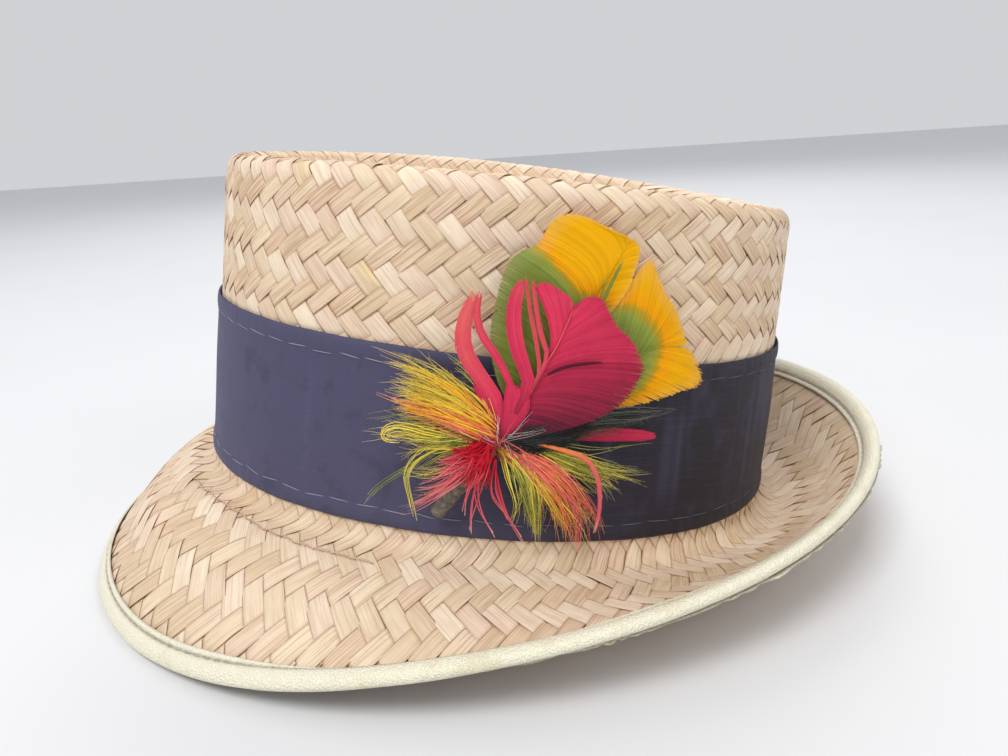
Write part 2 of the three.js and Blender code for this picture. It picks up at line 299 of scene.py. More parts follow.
def on_wall(x, z, lift):
    """Points on the wearer's left of the crown wall, held off it by lift, with outward directions."""
    x, z, lift = np.broadcast_arrays(*(np.asarray(v, float) for v in (x, z, lift)))
    share = z / MEAN_HEIGHT
    a = BASE[0] + (TOP[0] - BASE[0]) * share + lift
    b = BASE[1] + (TOP[1] - BASE[1]) * share + lift
    across = np.clip(x / a, -0.98, 0.98)
    bow = (1 - np.abs(across) ** SQUARENESS) ** (1 / SQUARENESS)
    nx = np.sign(across) * np.abs(across) ** (SQUARENESS - 1) / a
    ny = -(bow ** (SQUARENESS - 1)) / b
    normal = np.stack([nx, ny, 0.05 * np.hypot(nx, ny)], -1)
    return np.stack([x, -b * bow * (1 + FULLNESS * across), z], -1), unit(normal)


def set_down(name, data, material=None, smooth=True):
    """An object in the scene made from finished data."""
    item = bpy.data.objects.new(name, data)
    bpy.context.scene.collection.objects.link(item)
    if material is not None:
        data.materials.append(material)
        data.polygons.foreach_set("use_smooth", [smooth] * len(data.polygons))
    return item


def finished(name, mesh):
    """Mesh data from a mesh being edited, which ends the editing."""
    data = bpy.data.meshes.new(name)
    mesh.to_mesh(data)
    mesh.free()
    return data


# ---------------------------------------------------------------- making meshes


def mesh_piece(name, vertices, faces, material, smooth=True):
    """A mesh object of these points, on the hat's own axes, set down where the hat rests."""
    mesh = bpy.data.meshes.new(name)
    mesh.from_pydata(at_rest(vertices).tolist(), [], faces.tolist())
    mesh.update()
    return set_down(name, mesh, material, smooth)


def hoops(name, loops, material, marks, closed=True):
    """A piece grown from a circle that is extruded once a loop. Its ends meet, or are filled.

    Loops and marks go loop by loop. Marks are kept on the points under their names.
    """
    places = at_rest(loops)
    mesh = bmesh.new()
    bmesh.ops.create_circle(mesh, segments=places.shape[1])
    hoop = list(mesh.verts)
    edges = list(mesh.edges)
    first = list(edges)
    order = {}
    for k, loop in enumerate(places):
        if k:
            grown = bmesh.ops.extrude_edge_only(mesh, edges=edges)["geom"]
            fresh = {v for v in grown if isinstance(v, bmesh.types.BMVert)}
            hoop = [next(e.other_vert(v) for e in v.link_edges if e.other_vert(v) in fresh) for v in hoop]
            edges = [e for e in grown if isinstance(e, bmesh.types.BMEdge) and fresh.issuperset(e.verts)]
        for j, vertex in enumerate(hoop):
            vertex.co = loop[j]
            order[vertex] = k * len(hoop) + j
    if closed:
        bmesh.ops.bridge_loops(mesh, edges=edges + first)
    else:
        bmesh.ops.holes_fill(mesh, edges=edges + first, sides=0)
    bmesh.ops.recalc_face_normals(mesh, faces=mesh.faces)
    slots = [order[v] for v in mesh.verts]
    piece = set_down(name, finished(name, mesh), material)
    for mark, values in marks.items():
        note(piece, mark, np.asarray(values).reshape(len(slots), -1)[slots].squeeze())
    return piece


def note(piece, name, values):
    """Keeps a number or three on each point of a piece for its material."""
    values = np.asarray(values, np.float32)
    kind = "FLOAT_VECTOR" if values.ndim == 2 else "FLOAT"
    attribute = piece.data.attributes.new(name, kind, "POINT")
    attribute.data.foreach_set("vector" if values.ndim == 2 else "value", values.ravel())


def ring_faces(rings, sides, start=0):
    """Quads between rings of points, left open at both ends."""
    ring = np.arange(rings - 1)[:, None] * sides
    side = np.arange(sides)[None, :]
    turn = (side + 1) % sides
    quads = np.stack([ring + side, ring + turn, ring + sides + turn, ring + sides + side], -1)
    return quads.reshape(-1, 4) + start


def blades(lines, normals, half_width, half_thick):
    """Thin lens-shaped strands along lines, their flat sides facing the normals. Each is closed."""
    tangent = unit(np.gradient(lines, axis=1))
    side = unit(np.cross(tangent, normals))
    up = np.cross(side, tangent)
    w = half_width[..., None]
    t = half_thick[..., None]
    points = np.stack([lines + side * w, lines + up * t, lines - side * w, lines - up * t], 2)
    strands, count = lines.shape[:2]
    caps = np.array([[3, 2, 1, 0], [0, 1, 2, 3]]) + [[0], [(count - 1) * 4]]
    one = np.concatenate([ring_faces(count, 4), caps])
    shift = np.arange(strands)[:, None, None] * (count * 4)
    return points.reshape(-1, 3), (one[None] + shift).reshape(-1, 4)[:, ::-1]


def spline(p0, p1, p2, p3, f):
    """A share f of the way from p1 to p2 on a smooth curve through four points in turn."""
    curve = 2 * p1 + (p2 - p0) * f + (2 * p0 - 5 * p1 + 4 * p2 - p3) * f**2
    return 0.5 * (curve + (3 * p1 - p0 - 3 * p2 + p3) * f**3)


def smooth_path(controls, count):
    """Points evenly spread in parameter on a smooth curve through the controls."""
    controls = np.asarray(controls, float)
    before = 2 * controls[0] - controls[1]
    beyond = 2 * controls[-1] - controls[-2]
    ends = np.concatenate([[before], controls, [beyond]])
    t = np.linspace(0, len(controls) - 1, count)
    i = np.minimum(t.astype(int), len(controls) - 2)
    return spline(*(ends[i + k] for k in range(4)), (t - i)[:, None])


def wander(rng, count, smooth):
    """A soft random line of about unit size, count long, easing over smooth steps."""
    knots = rng.normal(size=int(count / smooth) + 4)
    t = np.arange(count) / smooth
    i = t.astype(int)
    f = t - i
    f = f * f * (3 - 2 * f)
    return knots[i] * (1 - f) + knots[i + 1] * f


# ---------------------------------------------------------------- finishes


class Signal:
    """A number on its way through a finish, so that sums on it read as sums."""

    def __init__(self, tree, socket):
        self.tree = tree
        self.socket = socket

    def sums(operation, swapped=False):
        """A method that joins this signal and another term in a maths node."""

        def join(self, other):
            node = self.tree.nodes.new("ShaderNodeMath")
            node.operation = operation
            for place, term in zip(node.inputs, (other, self) if swapped else (self, other)):
                feed(self.tree, place, term)
            return Signal(self.tree, node.outputs[0])

        return join

    __add__ = sums("ADD")
    __radd__ = sums("ADD", True)
    __sub__ = sums("SUBTRACT")
    __rsub__ = sums("SUBTRACT", True)
    __mul__ = sums("MULTIPLY")
    __rmul__ = sums("MULTIPLY", True)


def feed(tree, place, term):
    """Links a signal to a socket, or sets the socket to a plain value."""
    if isinstance(term, Signal):
        tree.links.new(term.socket, place)
    else:
        place.default_value = term


def scaled(colour, *factors):
    """A colour with its parts multiplied, by one factor or by three."""
    return tuple(c * k for c, k in zip(colour, factors * (3 // len(factors))))


class Finish:
    """A material being mixed on one Principled shader."""

    def __init__(self, name, **constants):
        self.material = bpy.data.materials.new(name)
        self.material.use_nodes = True
        self.tree = self.material.node_tree
        self.shader = self.tree.nodes["Principled BSDF"]
        self.place = self.node("ShaderNodeTexCoord", output="Object")
        self.wear(**constants)

    def node(self, kind, inputs=None, output=0, stops=(), **settings):
        """Any other node, with its settings first and then its sockets' values or links."""
        node = self.tree.nodes.new(kind)
        for name, value in settings.items():
            setattr(node, name, value)
        if stops:
            ramp = node.color_ramp.elements
            while len(ramp) < len(stops):
                ramp.new(0.5)
            for element, (position, colour) in zip(ramp, stops):
                element.position = position
                element.color = (*colour, 1.0)
        for name, value in (inputs or {}).items():
            feed(self.tree, node.inputs[name], value)
        return Signal(self.tree, node.outputs[output])

    def attribute(self, name, output="Fac"):
        return self.node("ShaderNodeAttribute", output=output, attribute_name=name)

    def parts(self, vector):
        """The three numbers of a vector."""
        first = self.node("ShaderNodeSeparateXYZ", {0: vector})
        return [Signal(self.tree, socket) for socket in first.socket.node.outputs]

    def vector(self, x, y, z):
        return self.node("ShaderNodeCombineXYZ", {0: x, 1: y, 2: z})

    def sine(self, angle):
        return self.node("ShaderNodeMath", {0: angle}, operation="SINE")

    def noise(self, vector, scale, detail=2.0, roughness=0.5, distortion=0.0):
        sizes = {"Scale": scale, "Detail": detail, "Roughness": roughness, "Distortion": distortion}
        return self.node("ShaderNodeTexNoise", {"Vector": vector, **sizes})

    def ranged(self, value, low, high, to_low=0.0, to_high=1.0):
        """A number carried from one range to another, held at both ends."""
        inputs = {0: value, 1: low, 2: high, 3: to_low, 4: to_high}
        return self.node("ShaderNodeMapRange", inputs, interpolation_type="SMOOTHSTEP")

    def ramp(self, value, stops):
        return self.node("ShaderNodeValToRGB", {0: value}, stops=stops)

    def mix(self, factor, first, second, blend="MIX"):
        pair = [c if isinstance(c, Signal) else (*c, 1.0) for c in (first, second)]
        inputs = {0: factor, 6: pair[0], 7: pair[1]}
        return self.node("ShaderNodeMix", inputs, 2, data_type="RGBA", blend_type=blend)

    def bump(self, height, strength, distance):
        inputs = {"Strength": strength, "Distance": distance, "Height": height}
        return self.node("ShaderNodeBump", inputs)

    def wear(self, **signals):
        """Feeds signals to the shader's own sockets and gives the material."""
        for socket, signal in signals.items():
            feed(self.tree, self.shader.inputs[socket.replace("_", " ")], signal)
        return self.material


def straw_finish(name, pale, tan, blush):
    """Split palm strip: fibres along it, its own tone strip by strip, with painted brown shade where it
    tucks under and painted shade on the strips of one lean.
    """
    finish = Finish(name, IOR=1.45)
    along, across, own = finish.parts(finish.attribute("strip", "Vector"))
    tuck_shade = finish.attribute("tuck_shade")
    shade_and_streak = finish.attribute("streak")
    streaks = shade_and_streak * 0.35 + 0.35
    offset = own * 61.0
    fibre = finish.noise(finish.vector(along * 0.035, across * 1.3 + offset, offset), 1.0, 3.0, 0.6)
    thread = finish.noise(finish.vector(along * 0.05, across * 3.6 + offset, 7.0), 1.0, 2.0, 0.6)
    patch = finish.noise(finish.place, 55.0, 3.0, 0.55)
    blotch = finish.noise(finish.vector(along * 0.11, across * 0.25 + offset, 3.0), 1.0, 2.0, 0.5)
    golden = scaled(pale, 0.98, 0.94, 0.66)
    stops = [(0.0, pale), (0.3, tan), (0.55, pale), (0.72, blush), (0.86, tan), (0.95, golden)]
    tone = finish.ramp(own * 0.7 + patch * 0.4 + blotch * 0.35 - 0.22, stops)
    # Painted shade: the strips of one lean are darkened, as floats facing away from the light.
    tone = finish.mix(shade_and_streak, tone, (0.92, 0.87, 0.79), "MULTIPLY")
    streak = finish.ranged(fibre, 0.45, 0.66)
    body = finish.mix(streak * streaks, tone, scaled(tan, 0.66, 0.55, 0.45))
    light = finish.ranged(thread, 0.54, 0.68)
    body = finish.mix(light * 0.5, body, tuple(min(1.0, c * 1.08) for c in pale))
    split = finish.ranged(own, 0.72, 0.8) * 0.06
    line = finish.ranged(thread - split, 0.39, 0.31)
    body = finish.mix(line * streaks, body, (0.46, 0.21, 0.12))
    # Painted shade, brown, where a strip dives under the crossing one, on its underside and along its
    # edges; the edges are also a little brown in the straw itself.
    body = finish.mix(tuck_shade * 0.62, body, (0.42, 0.19, 0.10))
    relief = finish.bump(fibre + thread * 0.8, 0.6, 0.0003)
    return finish.wear(Base_Color=body, Roughness=0.42 + fibre * 0.25, Normal=relief)


def cloth_finish(name, colour, painted_shade):
    """Close plain-woven cotton, lit at the front and left with painted shade towards the back, and
    painted sheen in soft stripes and along its creases.
    """
    finish = Finish(name, Sheen_Weight=0.15, Sheen_Roughness=0.4, Specular_IOR_Level=0.3)
    finish.wear(Sheen_Tint=(0.62, 0.6, 0.78, 1.0))
    along, up, crease = finish.parts(finish.attribute("lay", "Vector"))
    weave = finish.sine(along * 12.5) * finish.sine(up * 12.5)
    slub = finish.noise(finish.vector(along * 0.05, up * 1.4, 0.0), 1.0, 3.0, 0.6)
    cloud = finish.noise(finish.vector(along * 0.05, up * 0.02, 3.0), 1.0, 3.0, 0.55)
    blot = finish.noise(finish.vector(along * 0.12, up * 0.09, 9.0), 1.0, 3.0, 0.6)
    # Painted shade: the band runs from its lit colour at the front to the painted shade colour at the
    # back.
    east = finish.parts(finish.place)[0]
    body = finish.mix(finish.ranged(east + (cloud - 0.5) * 0.05, 0.055, -0.03), painted_shade, colour)
    # Painted sheen: the soft stripes and the creases are lightened. The darker blots and the lighter
    # slubs are the cloth's own.
    for share, brighter in (
        (finish.ranged(cloud, 0.52, 0.72) * 0.35, 1.5),
        (finish.ranged(blot, 0.52, 0.7) * 0.5, 0.55),
        (crease * 0.3, 1.7),
        (finish.ranged(slub, 0.5, 0.75) * 0.2, 1.3),
    ):
        body = finish.mix(share, body, scaled(colour, brighter))
    relief = finish.bump(weave * 0.5 + slub, 0.35, 0.00025)
    return finish.wear(Base_Color=body, Roughness=0.62 + cloud * 0.2, Normal=relief)


def thread_finish(name, colour, painted_shade=1.0):
    """Twisted sewing thread, with painted shade: darker by the share given towards the back of the hat,
    away from the light.
    """
    finish = Finish(name, Roughness=0.6)
    along, own, _ = finish.parts(finish.attribute("thread", "Vector"))
    twist = finish.sine(along * 9.0 + own * 6.0)
    shade = finish.mix(finish.ranged(twist, -1.0, 1.0), scaled(colour, 0.7), colour)
    shade = finish.mix(finish.ranged(own, 0.5, 1.0) * 0.5, shade, scaled(colour, 0.55))
    # Painted shade: the thread darkens towards the back, away from the light.
    east = finish.ranged(finish.parts(finish.place)[0], -0.03, 0.055)
    shade = finish.mix(east, shade, (painted_shade, painted_shade, painted_shade), "MULTIPLY")
    return finish.wear(Base_Color=shade, Normal=finish.bump(twist, 0.4, 0.0001))


def binding_finish(name, colour):
    """Pebbled coated cloth, darker along the seam and dulled in patches."""
    finish = Finish(name, IOR=1.5)
    seam = finish.attribute("seam")
    cells = {"Vector": finish.place, "Scale": 1700.0}
    pebble = finish.node("ShaderNodeTexVoronoi", cells, feature="F1")
    grain = finish.noise(finish.place, 900.0, 2.0)
    patchiness = finish.noise(finish.place, 95.0, 4.0, 0.65)
    pit = finish.ranged(pebble, 0.30, 0.75)
    body = finish.mix(pit * 0.28, colour, scaled(colour, 0.80, 0.72, 0.50))
    body = finish.mix(finish.ranged(patchiness, 0.5, 0.72) * 0.5, body, scaled(colour, 0.78, 0.72, 0.58))
    body = finish.mix(seam * (0.35 + patchiness * 0.7), body, (0.24, 0.20, 0.15))
    relief = finish.bump(grain * 0.3 - pit, 0.7, 0.0003)
    return finish.wear(Base_Color=body, Roughness=0.26 + patchiness * 0.2, Normal=relief)


def barb_finish(name, tones, root, tip_fade=0.25):
    """Dyed feather barbs. A barb keeps its along, its own number and its zone in one attribute."""
    finish = Finish(name, Specular_IOR_Level=0.1)
    along, own, zone = finish.parts(finish.attribute("barb", "Vector"))
    mottle = finish.noise(finish.place, 160.0, 3.0, 0.6)
    body = finish.ramp(zone + (own - 0.5) * 0.08 + (mottle - 0.5) * 0.16, tones)
    shade = finish.ranged(own, 0.0, 1.0, 0.9, 1.05)
    body = finish.mix(1.0, body, finish.vector(shade, shade, shade), "MULTIPLY")
    body = finish.mix(finish.ranged(along, 0.22, 0.0) * 0.5, body, root)
    body = finish.mix(finish.ranged(along, 0.86, 1.0) * tip_fade, body, (0.95, 0.80, 0.50))
    hatch = finish.sine(along * 230.0 + own * 9.0)
    relief = finish.bump(hatch * 0.4 + mottle, 0.3, 0.00012)
    return finish.wear(Base_Color=body, Roughness=0.42 + mottle * 0.25, Normal=relief)


def tape_finish(name, colour):
    """Dull florist's tape wound round a stem."""
    finish = Finish(name, Roughness=0.75)
    fleck = finish.noise(finish.place, 700.0, 4.0, 0.7)
    body = finish.mix(finish.ranged(fleck, 0.35, 0.7), scaled(colour, 0.45), colour)
    # Painted shade in the step at the edge of each wind.
    body = finish.mix(finish.attribute("wrap") * 0.8, body, scaled(colour, 0.22))
    return finish.wear(Base_Color=body, Normal=finish.bump(fleck, 0.6, 0.0003))


def felt_finish(name, colour):
    """Matted wool felt."""
    finish = Finish(name, Sheen_Weight=0.3)
    wool = finish.noise(finish.place, 1400.0, 5.0, 0.75, 1.5)
    body = finish.mix(finish.ranged(wool, 0.3, 0.7), scaled(colour, 0.5), colour)
    return finish.wear(Base_Color=body, Roughness=0.88, Normal=finish.bump(wool, 0.8, 0.0004))


def floor_finish(name, colour):
    """A plain pale floor, very faintly clouded."""
    finish = Finish(name)
    speck = finish.noise(finish.place, 6.0, 3.0)
    body = finish.mix(finish.ranged(speck, 0.3, 0.7) * 0.3, colour, scaled(colour, 0.94))
    return finish.wear(Base_Color=body, Roughness=0.7)


# ---------------------------------------------------------------- straw strips

TOP_PROFILE = (-1.0, -0.84, 0.0, 0.84, 1.0)
BOTTOM_PROFILE = (0.84, 0.0, -0.84)


def eased_signs(signs, count, samples):
    """Heights between over and under, smooth through the middle of each float."""
    ends = np.concatenate([[signs[0]], signs, [signs[-1]], [signs[-1]]])
    t = np.arange(count) / samples
    i = np.minimum(t.astype(int), len(signs) - 1)
    return spline(*(ends[np.minimum(i + k, len(ends) - 1)] for k in range(4)), t - i)


class Strips:
    """Gathers woven strips into one mesh."""

    def __init__(self, rng, amplitude, settings):
        self.rng = rng
        self.amplitude = amplitude
        self.thickness = settings.thickness
        self.arch = settings.arch
        self.fill = settings.fill
        self.vertices = []
        self.faces = []
        self.marks = {"strip": [], "tuck_shade": [], "streak": []}
        self.count = 0

    def wave(self, over, count):
        """A strip's rise and fall: flat floats with quick dives between them."""
        wave = eased_signs(np.where(over, 0.8, -0.8), count, SAMPLES)
        return np.tanh(2.6 * wave) / math.tanh(2.6)

    def offsets(self, count, spread):
        """How far off its middle line a strip's top and bottom points lie, sample by sample."""
        shift = wander(self.rng, count, 6.0)[:, None] * 0.035
        fill = self.fill + self.rng.normal() * spread + wander(self.rng, count, 9.0)[:, None] * 0.03
        return [np.array(p)[None, :] * 0.5 * fill + shift for p in (TOP_PROFILE, BOTTOM_PROFILE)]

    def add(self, top, top_normals, under, under_normals, wave, streak):
        """One strip from the points across its top and bottom, sample by sample."""
        samples = len(wave)
        own = self.rng.random()
        profile = np.array(TOP_PROFILE)
        arch = self.arch * (1 - np.abs(profile) ** 3)
        kind = self.rng.random()
        if kind < 0.3:
            arch[1 if kind < 0.15 else 3] -= 0.1
        lean = wander(self.rng, samples, 4.0)[:, None] * 0.1
        rise = wander(self.rng, samples, 5.0)[:, None] * 0.05
        height = wave[:, None] * self.amplitude + rise
        high = height + lean * profile + arch + self.thickness / 2
        low = height + lean * np.array(BOTTOM_PROFILE) - self.thickness / 2
        upper = top + top_normals * high[..., None]
        lower = under + under_normals * low[..., None]
        ring = np.concatenate([upper, lower], 1)
        sides = ring.shape[1]
        self.faces.append(ring_faces(samples, sides, self.count)[:, ::-1])
        self.vertices.append(ring.reshape(-1, 3))
        across = np.linalg.norm(top[:, 4] - top[:, 0], axis=1)
        spread = np.concatenate([profile, np.array(BOTTOM_PROFILE)])
        mark = np.zeros((samples, sides, 3))
        mark[..., 0] = run(top[:, 2])[:, None] + own * 900.0
        mark[..., 1] = across[:, None] * spread / 2
        mark[..., 2] = own
        # Painted shade: deep where the strip dives under the crossing one, less along its edges, and on
        # its underside.
        deep = soft_step(wave, 0.15, -0.55)
        edge = np.clip((np.abs(spread) - 0.84) / 0.16, 0, 1) * 0.5
        tuck_shade = np.clip(deep[:, None] + edge[None, :] * (0.4 + 0.6 * own), 0, 1)
        tuck_shade[:, len(profile) :] = np.clip((0.15 + wave[:, None]) / 0.7, 0, 1)
        self.marks["strip"].append(mark.reshape(-1, 3))
        self.marks["tuck_shade"].append(tuck_shade.reshape(-1))
        self.marks["streak"].append(np.repeat(streak, sides))
        self.count += sides * samples

    def finish(self, name, material):
        piece = mesh_piece(name, np.concatenate(self.vertices), np.concatenate(self.faces), material)
        for mark, values in self.marks.items():
            note(piece, mark, np.concatenate(values))
        mesh = bmesh.new()
        mesh.from_mesh(piece.data)
        bmesh.ops.holes_fill(mesh, edges=[e for e in mesh.edges if e.is_boundary], sides=0)
        bmesh.ops.recalc_face_normals(mesh, faces=mesh.faces)
        mesh.to_mesh(piece.data)
        mesh.free()
        return piece


def top_place(x, y):
    """Where a point of the square top lattice lies: a share of a turn and a ring."""
    a = x / TOP_RINGS
    b = y / TOP_RINGS
    pressed = np.stack([a * np.sqrt(1 - b * b / 2), b * np.sqrt(1 - a * a / 2)], -1)
    ring = np.maximum(np.abs(a), np.abs(b))
    safe = np.maximum(ring, 1e-9)
    right = (np.abs(a) >= np.abs(b)) & (a > 0)
    left = (np.abs(a) >= np.abs(b)) & (a <= 0)
    above = (np.abs(a) < np.abs(b)) & (b > 0)
    polar = np.where(right, b / safe, 0.0)
    polar = np.where(above, 2 - a / safe, polar)
    polar = np.where(left, 4 - b / safe, polar)
    polar = np.where(~right & ~left & ~above, 6 + a / safe, polar) * math.pi / 4
    even = np.stack([ring * np.cos(polar), ring * np.sin(polar)], -1)
    w = soft_step(ring, 0.25, 1.0)[..., None]
    place = pressed * (1 - w) + even * w
    turn = (np.arctan2(place[..., 1], place[..., 0]) / (2 * math.pi) + 0.125) % 1.0
    return turn, np.hypot(place[..., 0], place[..., 1]) * TOP_RINGS


def lattice_place(x, y, slant, onward):
    """Place of lattice points on the top, or on the wall past the edge that a strip leaves by."""
    turn, ring = top_place(np.clip(x, -TOP_RINGS, TOP_RINGS), np.clip(y, -TOP_RINGS, TOP_RINGS))
    if slant > 0:
        sector = np.where(onward, 0, 3)
        out = np.where(onward, x, -y)
        side = np.where(onward, y, x)
    else:
        sector = np.where(onward, 1, 2)
        out = np.where(onward, y, -x)
        side = np.where(onward, -x, -y)
    place = (sector * TOP_RINGS + TOP_RINGS / 2 + side / 2) / (4 * TOP_RINGS)
    past = out >= TOP_RINGS
    return np.where(past, place % 1.0, turn), np.where(past, out, ring)


def sway(turn, row):
    """The weave's slant down the wall: it leans back round the front and the wearer's left."""
    down = np.clip((row - TOP_RINGS) / WALL_ROWS, 0, 1)
    return turn - 0.045 * down * np.exp(-((away(turn, 0.71) / 0.13) ** 2))


def shade_and_streak(turn, row):
    """How streaky a strip shows and how much painted shade it takes: on each side of the crown the strips
    that lean one way round are streakier and darker, as floats facing away from the light.
    """
    lean = np.sign(np.gradient(np.unwrap(turn * 2 * math.pi)) * np.gradient(row))
    return 0.5 - 0.5 * lean * np.tanh(8 * np.sin((turn - 0.45) * 2 * math.pi))


def weave_crown(settings, material):
    """Two sets of strips at right angles, over two and under two."""
    rng = np.random.default_rng(11)
    skin = crown_skin(1.15)
    rows = TOP_RINGS + WALL_ROWS
    pieces = []
    for family, name in enumerate(CROWN_NAMES):
        strips = Strips(rng, settings.relief, settings)
        for slant in range(1 - 2 * TOP_RINGS, 2 * TOP_RINGS, 2):
            reach = rows - abs(slant) // 2
            cells = np.arange(-reach, reach) + 0.5
            ring = np.rint(np.abs(cells) + abs(slant) / 2).astype(int)
            climbing = (cells > 0) == (slant > 0)
            over = np.isin((ring + settings.first_row) % 4, (0, 1)) == climbing
            count = (len(cells) - 1) * SAMPLES + 1
            wave = strips.wave(over, count)
            t = cells[0] + np.arange(count) / SAMPLES
            sheets = []
            for off in strips.offsets(count, 0.025):
                x = t[:, None] + slant / 2 + off
                y = t[:, None] - slant / 2 - off
                turn, row = lattice_place(x, y, slant, (t > 0)[:, None])
                turn = sway(turn + 0.25 * family, row)
                sheets.extend(skin.read(turn, row * CROWN_STEPS))
            turn = turn[:, off.shape[1] // 2]
            row = row[:, off.shape[1] // 2]
            wave *= 1 - 0.35 * np.exp(-(((row - TOP_RINGS) / 1.6) ** 2))
            strips.add(*sheets, wave, shade_and_streak(turn, row))
        pieces.append(strips.finish(name, material))
    return pieces
# Width of the brim's first row, and how much each row widens on the one before, in millimetres.
FIRST_ROW = 3.75
ROW_GROWTH = 0.075


def brim_row(row):
    """How far out a brim row lies, in millimetres: the rows widen towards the edge."""
    return row * (FIRST_ROW + ROW_GROWTH * row)


def brim_row_at(reach):
    """The row that lies this far out."""
    return (np.sqrt(FIRST_ROW**2 + 4 * ROW_GROWTH * reach) - FIRST_ROW) / (2 * ROW_GROWTH)


def crowd(turn):
    """The brim's strips lie closer together towards the back of the wearer's left."""
    return turn - 0.035 * np.sin((turn - 0.93) * 2 * math.pi)


def weave_brim(settings, material):
    """Two sets of strips leaning either way round the brim, from under the band to the binding."""
    rng = np.random.default_rng(23)
    skin, lengths = brim_skin(0.95)
    pieces = []
    total = settings.brim_strips
    cells = np.arange(0, 14)
    count = (len(cells) - 1) * SAMPLES + 1
    lengths = np.append(lengths, lengths[0])
    for lean, name in zip((1, -1), BRIM_NAMES):
        strips = Strips(rng, settings.relief * 0.92, settings)
        for strip in range(total):
            wave = strips.wave(np.isin(cells % 4, (0, 1)) == (lean > 0), count)
            t = np.arange(count) / SAMPLES
            middle = crowd((strip + 0.5 * lean * t) / total) % 1.0
            reach = np.interp(middle * COLUMNS, np.arange(COLUMNS + 1), lengths) - 0.9
            keep = int((brim_row(t) < reach).sum())
            t[keep:] = brim_row_at(reach[keep:])
            keep = min(keep + 1, count)
            sheets = []
            for off in strips.offsets(count, 0.03):
                turn = crowd((strip + 0.5 * lean * (t[:, None] - off)) / total)
                point, normal = skin.read(turn, brim_row(t[:, None] + off))
                sheets.extend([point[:keep], normal[:keep]])
            # The cross strips are streakier and darker: painted shade, as on the crown.
            strips.add(*sheets, wave[:keep], np.full(keep, 0.3 - 0.3 * lean))
        pieces.append(strips.finish(name, material))
    return pieces


# ---------------------------------------------------------------- band and binding


def thread_runs(name, starts, ends, normals, sag, half, material, rng, steps=5):
    """Short stitches between pairs of points, bowed out in the middle and sunk at both ends."""
    t = np.linspace(0, 1, steps)
    lines = starts[:, None] * (1 - t)[None, :, None] + ends[:, None] * t[None, :, None]
    bow = np.sin(t * math.pi) ** 0.6
    lines = lines + normals[:, None] * (bow[None, :, None] * sag)
    widths = np.tile(half * (0.55 + 0.45 * bow), (len(starts), 1))
    directions = np.repeat(normals[:, None], steps, 1)
    points, faces = blades(lines, directions, widths, widths * 0.85)
    piece = mesh_piece(name, points, faces, material)
    mark = np.zeros((len(starts), steps, 4, 3))
    mark[..., 0] = (t * np.linalg.norm(ends - starts, axis=1)[:, None])[..., None]
    mark[..., 1] = rng.random(len(starts))[:, None, None]
    note(piece, "thread", mark.reshape(-1, 3))
    return piece


def stitch_row(rows, name, sag, half, material, rng):
    """Stitches from rows of starts, ends and facings."""
    return thread_runs(name, *(np.concatenate(part) for part in zip(*rows)), sag, half, material, rng)


def band_place(angle, up, out):
    """A point of the band: up is a share of its height and out is off the crown wall."""
    z = BAND_BOTTOM + BAND_HEIGHT * up - BAND_FRONT_LIFT * up * np.cos(angle)
    return crown_point(angle, z, -out)


def folds(angle, rng_seed, count, width):
    """Soft creases: how far each angle stands on one of a few random ridges."""
    rng = np.random.default_rng(rng_seed)
    places = rng.random(count) * 2 * math.pi - math.pi
    sizes = rng.random(count) * 0.8 + 0.2
    total = np.zeros_like(angle)
    for place, size in zip(places, sizes):
        gap = np.abs((angle - place + math.pi) % (2 * math.pi) - math.pi)
        total += size * np.exp(-((gap / width) ** 2))
    return total


def make_band(settings, cloth, thread):
    columns = 520
    angles = round_crown(30.0, np.arange(columns) / columns)
    outer_up = (0.0, 0.012, 0.04, 0.07, 0.092, 0.1, 0.112, 0.16, 0.24, 0.33, 0.42, 0.5)
    outer_off = (0.35, 0.72, 0.88, 0.86, 0.62, 0.56, 0.48, 0.45, 0.45, 0.45, 0.45, 0.45)
    up = np.array(outer_up + tuple(1 - u for u in reversed(outer_up[:-1])) + (0.96, 0.5, 0.04))
    off = np.array(outer_off + tuple(reversed(outer_off[:-1])) + (-0.1, -0.15, -0.1))
    face = np.ones(len(up))
    face[-3:] = 0.0
    a = angles[:, None]
    wave = np.sin(9 * a + 0.6) * 0.12 + np.sin(23 * a + 2.0) * 0.08 + np.sin(61 * a) * 0.05
    crease = folds(a, 5, 46, 0.013)
    slack = np.sin(np.clip((up - 0.1) / 0.8, 0, 1) * math.pi) * face
    ripple = (np.sin(5 * a + up * 5.0) * 0.12 + crease * 0.22 + 0.1) * slack
    stitch_pull = np.sin(a * 134.0) * 0.05 * face * (slack < 0.2)
    lift = wave * np.where(np.abs(up - 0.5) > 0.3, 0.012, 0.0)
    points = band_place(a, up + lift, off + ripple + stitch_pull)
    around = np.linspace(0, BAND_FLAT[1] / MM, columns)[:, None] + 0 * up
    mark = np.stack([around, 0 * a + up * BAND_HEIGHT, crease * slack], -1)
    marks = {"lay": mark.transpose(1, 0, 2)}
    band = hoops("hat_band_cloth", points.transpose(1, 0, 2), cloth, marks)
    rng = np.random.default_rng(8)
    count = settings.stitches
    rows = []
    for level in (0.096, 0.904):
        turn = (np.arange(count) + rng.random(count) * 0.14) / count
        span = (0.66 + rng.random(count) * 0.2) / count
        pair = round_crown(30.0, np.stack([turn, turn + span], -1))
        height = level + rng.normal(size=(count, 2)) * 0.006
        low = band_place(pair, height, 0.62)
        rows.append([low[:, 0], low[:, 1], unit(band_place(pair, height, 1.62) - low)[:, 0]])
    return band, stitch_row(rows, "band_stitching", 0.12, 0.19, thread, rng)


